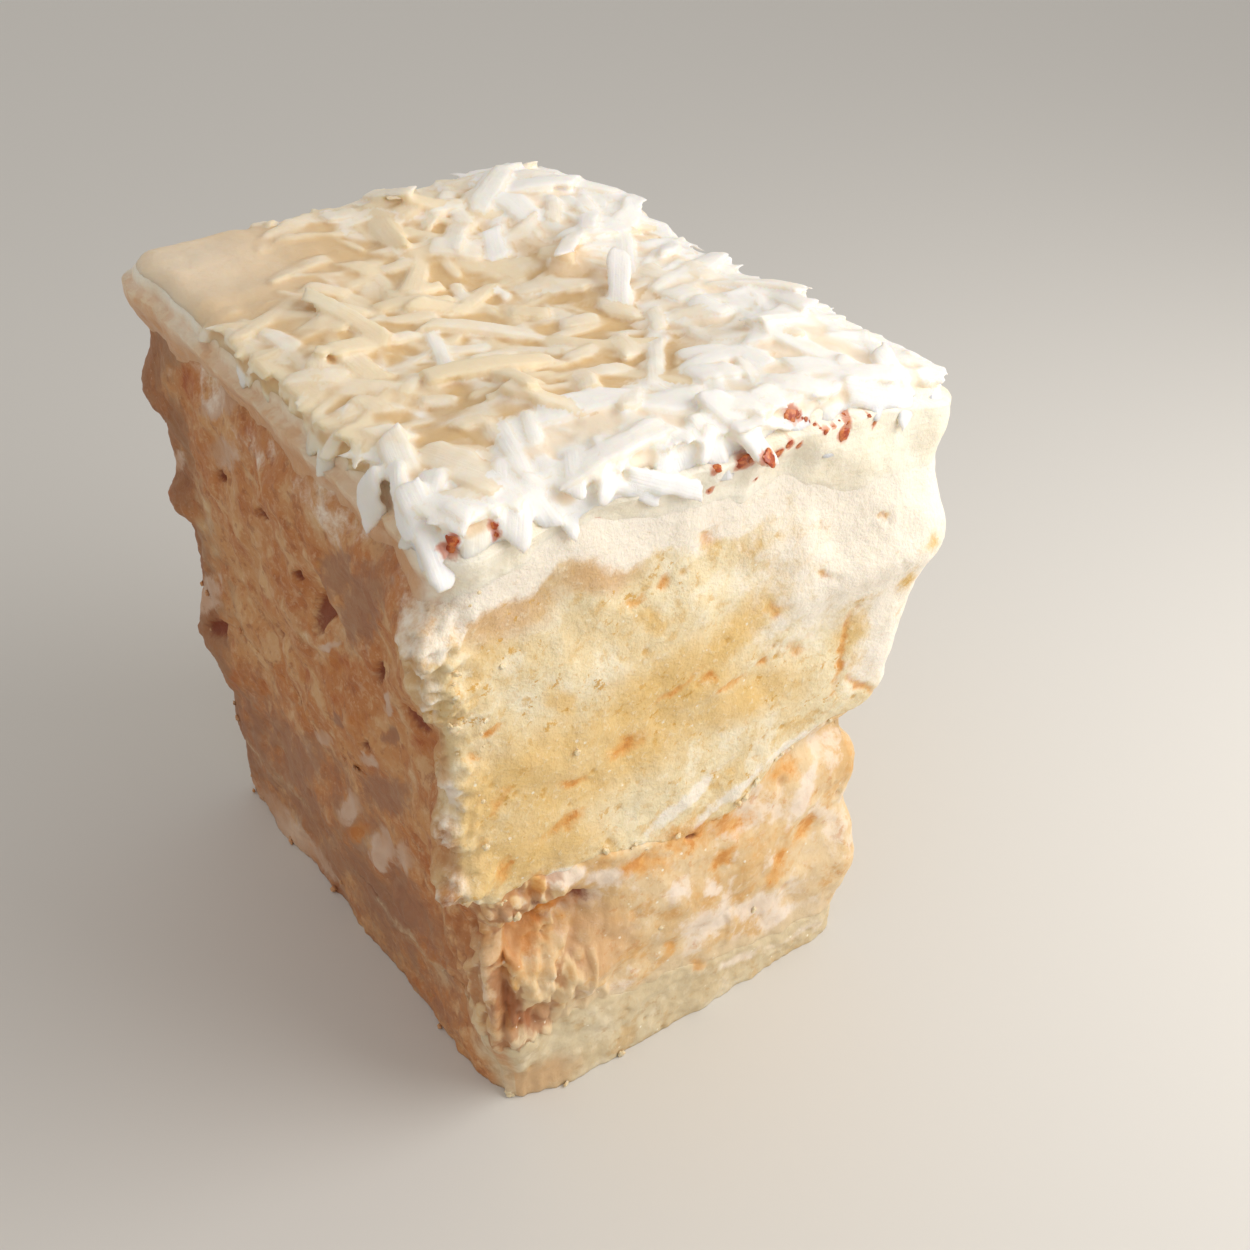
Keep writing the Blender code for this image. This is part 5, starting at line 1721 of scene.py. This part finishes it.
def floor():
    """The pale floor that the cake stands on."""
    data = bpy.data.meshes.new("floor")
    half = 1.5
    corners = [(-half, -half, 0.0), (half, -half, 0.0), (half, half, 0.0), (-half, half, 0.0)]
    data.from_pydata(corners, [], [(0, 1, 2, 3)])
    f = Finish("pale_floor", 0.8, 0.0, 0.0)
    f.feed(f.shader.inputs["Base Color"], (216, 214, 210))
    data.materials.append(f.material)
    plane = bpy.data.objects.new("floor", data)
    bpy.context.scene.collection.objects.link(plane)
    plane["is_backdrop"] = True


def camera():
    """The photograph's view: 38 degrees down, with the lit face turned 35 degrees."""
    data = bpy.data.cameras.new("camera")
    data.lens = CAMERA_LENS
    data.sensor_width = 36.0
    data.clip_start, data.clip_end = 0.005, 10.0
    seen_from = bpy.data.objects.new("camera", data)
    seen_from.location = CAMERA_PLACE
    seen_from.rotation_euler = (math.radians(CAMERA_TILT), 0.0, math.radians(CAMERA_TURN))
    bpy.context.scene.collection.objects.link(seen_from)
    bpy.context.scene.camera = seen_from


def surroundings():
    """Soft light from all round and one window."""
    world = bpy.data.worlds.new("soft_daylight")
    world.use_nodes = True
    sky = world.node_tree.nodes["Background"]
    sky.inputs["Color"].default_value = (1.0, 0.96, 0.91, 1.0)
    sky.inputs["Strength"].default_value = 0.60
    bpy.context.scene.world = world
    area_light("window", (0.12, -0.12, 0.14), 0.18, 0.31, (1.0, 0.965, 0.92))


def cut_layers():
    """The three layers under the frosting, from the foot up."""
    layers = (
        ("lower_sponge", "lower_sponge_as_cut", 0.5, 0.35, lower_sponge_texture, 40),
        ("cream_filling", "coconut_cream_filling", 0.5, 0.18, filling_texture, 84),
        ("upper_sponge", "sponge_as_cut", 1.0, 0.20, sponge_texture, 128),
    )
    bounds = (base, lower_sponge_top, filling_top, sponge_top)
    for i, (slot, name, coarse, moist, texture, rows) in enumerate(layers):
        tones = {tone: colours[i] for tone, colours in CUT_TONES.items()}
        material = cut_face(name, coarse=coarse, moist=moist, **tones)
        layer_piece(slot, bounds[i], bounds[i + 1], rows, texture, material)


def coated_top(more):
    """The frosting and its coconut, and where the syrup lies on them."""
    draw, heap = random.Random(SEED), Heap()
    shreds = top_shreds(draw, heap) + edge_shreds(draw) + marked_shreds()
    cream_top = heap.smoothed()
    surface = cream_surface(cream_top)
    shreds += under_shreds(more, cream_top) + under_edge_shreds(more) + named_shreds(cream_top)
    shreds = off_the_bare_corner(shreds)
    skin, skin_faces, skin_masks = coconut_skin(shreds, more, cream_top, surface)
    cream, cream_values = with_ends(surface[0], cream_masks(*surface))
    cream_faces = grid_faces(len(surface[0]), surface[0].shape[1])
    meshes = ((skin, skin_faces), (cream, cream_faces))
    places = seen_on([np.array(spot[:3]) * MM for spot in SYRUP], meshes)
    spots = [(place, normal, spot[3] * MM) for (place, normal), spot in zip(places, SYRUP)]
    skin_masks["syrup"] = syrup_stain(skin, spots)
    cream_values["syrup"] = syrup_stain(cream, spots)
    skin_masks.update(cream_masks(skin, np.zeros(skin.shape) + (0.0, 0.0, 1.0)))
    slot, finish = "coconut_frosting", frosting_finish()
    add_piece("cream_frosting", cream, cream_faces, finish, slot, cream_values, [slot])
    add_piece("coconut_shreds", skin, skin_faces, coconut_finish(), slot, skin_masks)
    return spots


def loose_pieces(more, spots):
    """Crumbs and syrup specks."""
    crumbs = crumb_places(more)
    vertices, faces, values = lump_mesh(crumbs, more, roughness=0.6, flatness=0.35)
    masks = {"paleness": np.abs(values), "soak_and_shade": (values < 0.0).astype(float)}
    add_piece("sponge_crumbs", vertices, faces, crumb_finish(), "upper_sponge", masks)
    smears = [(place, normal, 0.95 * radius, 1.0) for place, normal, radius in spots]
    vertices, faces, _ = lump_mesh(smears, more, roughness=0.5, flatness=0.85)
    add_piece("syrup_specks", vertices, faces, syrup_finish(), "coconut_frosting", {})


floor()
camera()
surroundings()
cut_layers()
more_draws = random.Random(UNDER_SEED)
loose_pieces(more_draws, coated_top(more_draws))
bpy.context.scene.view_settings.view_transform = "Standard"

boxes = {"cad": cad_box, "visual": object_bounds()}
{label: [list(corner) for corner in box] for label, box in boxes.items()}
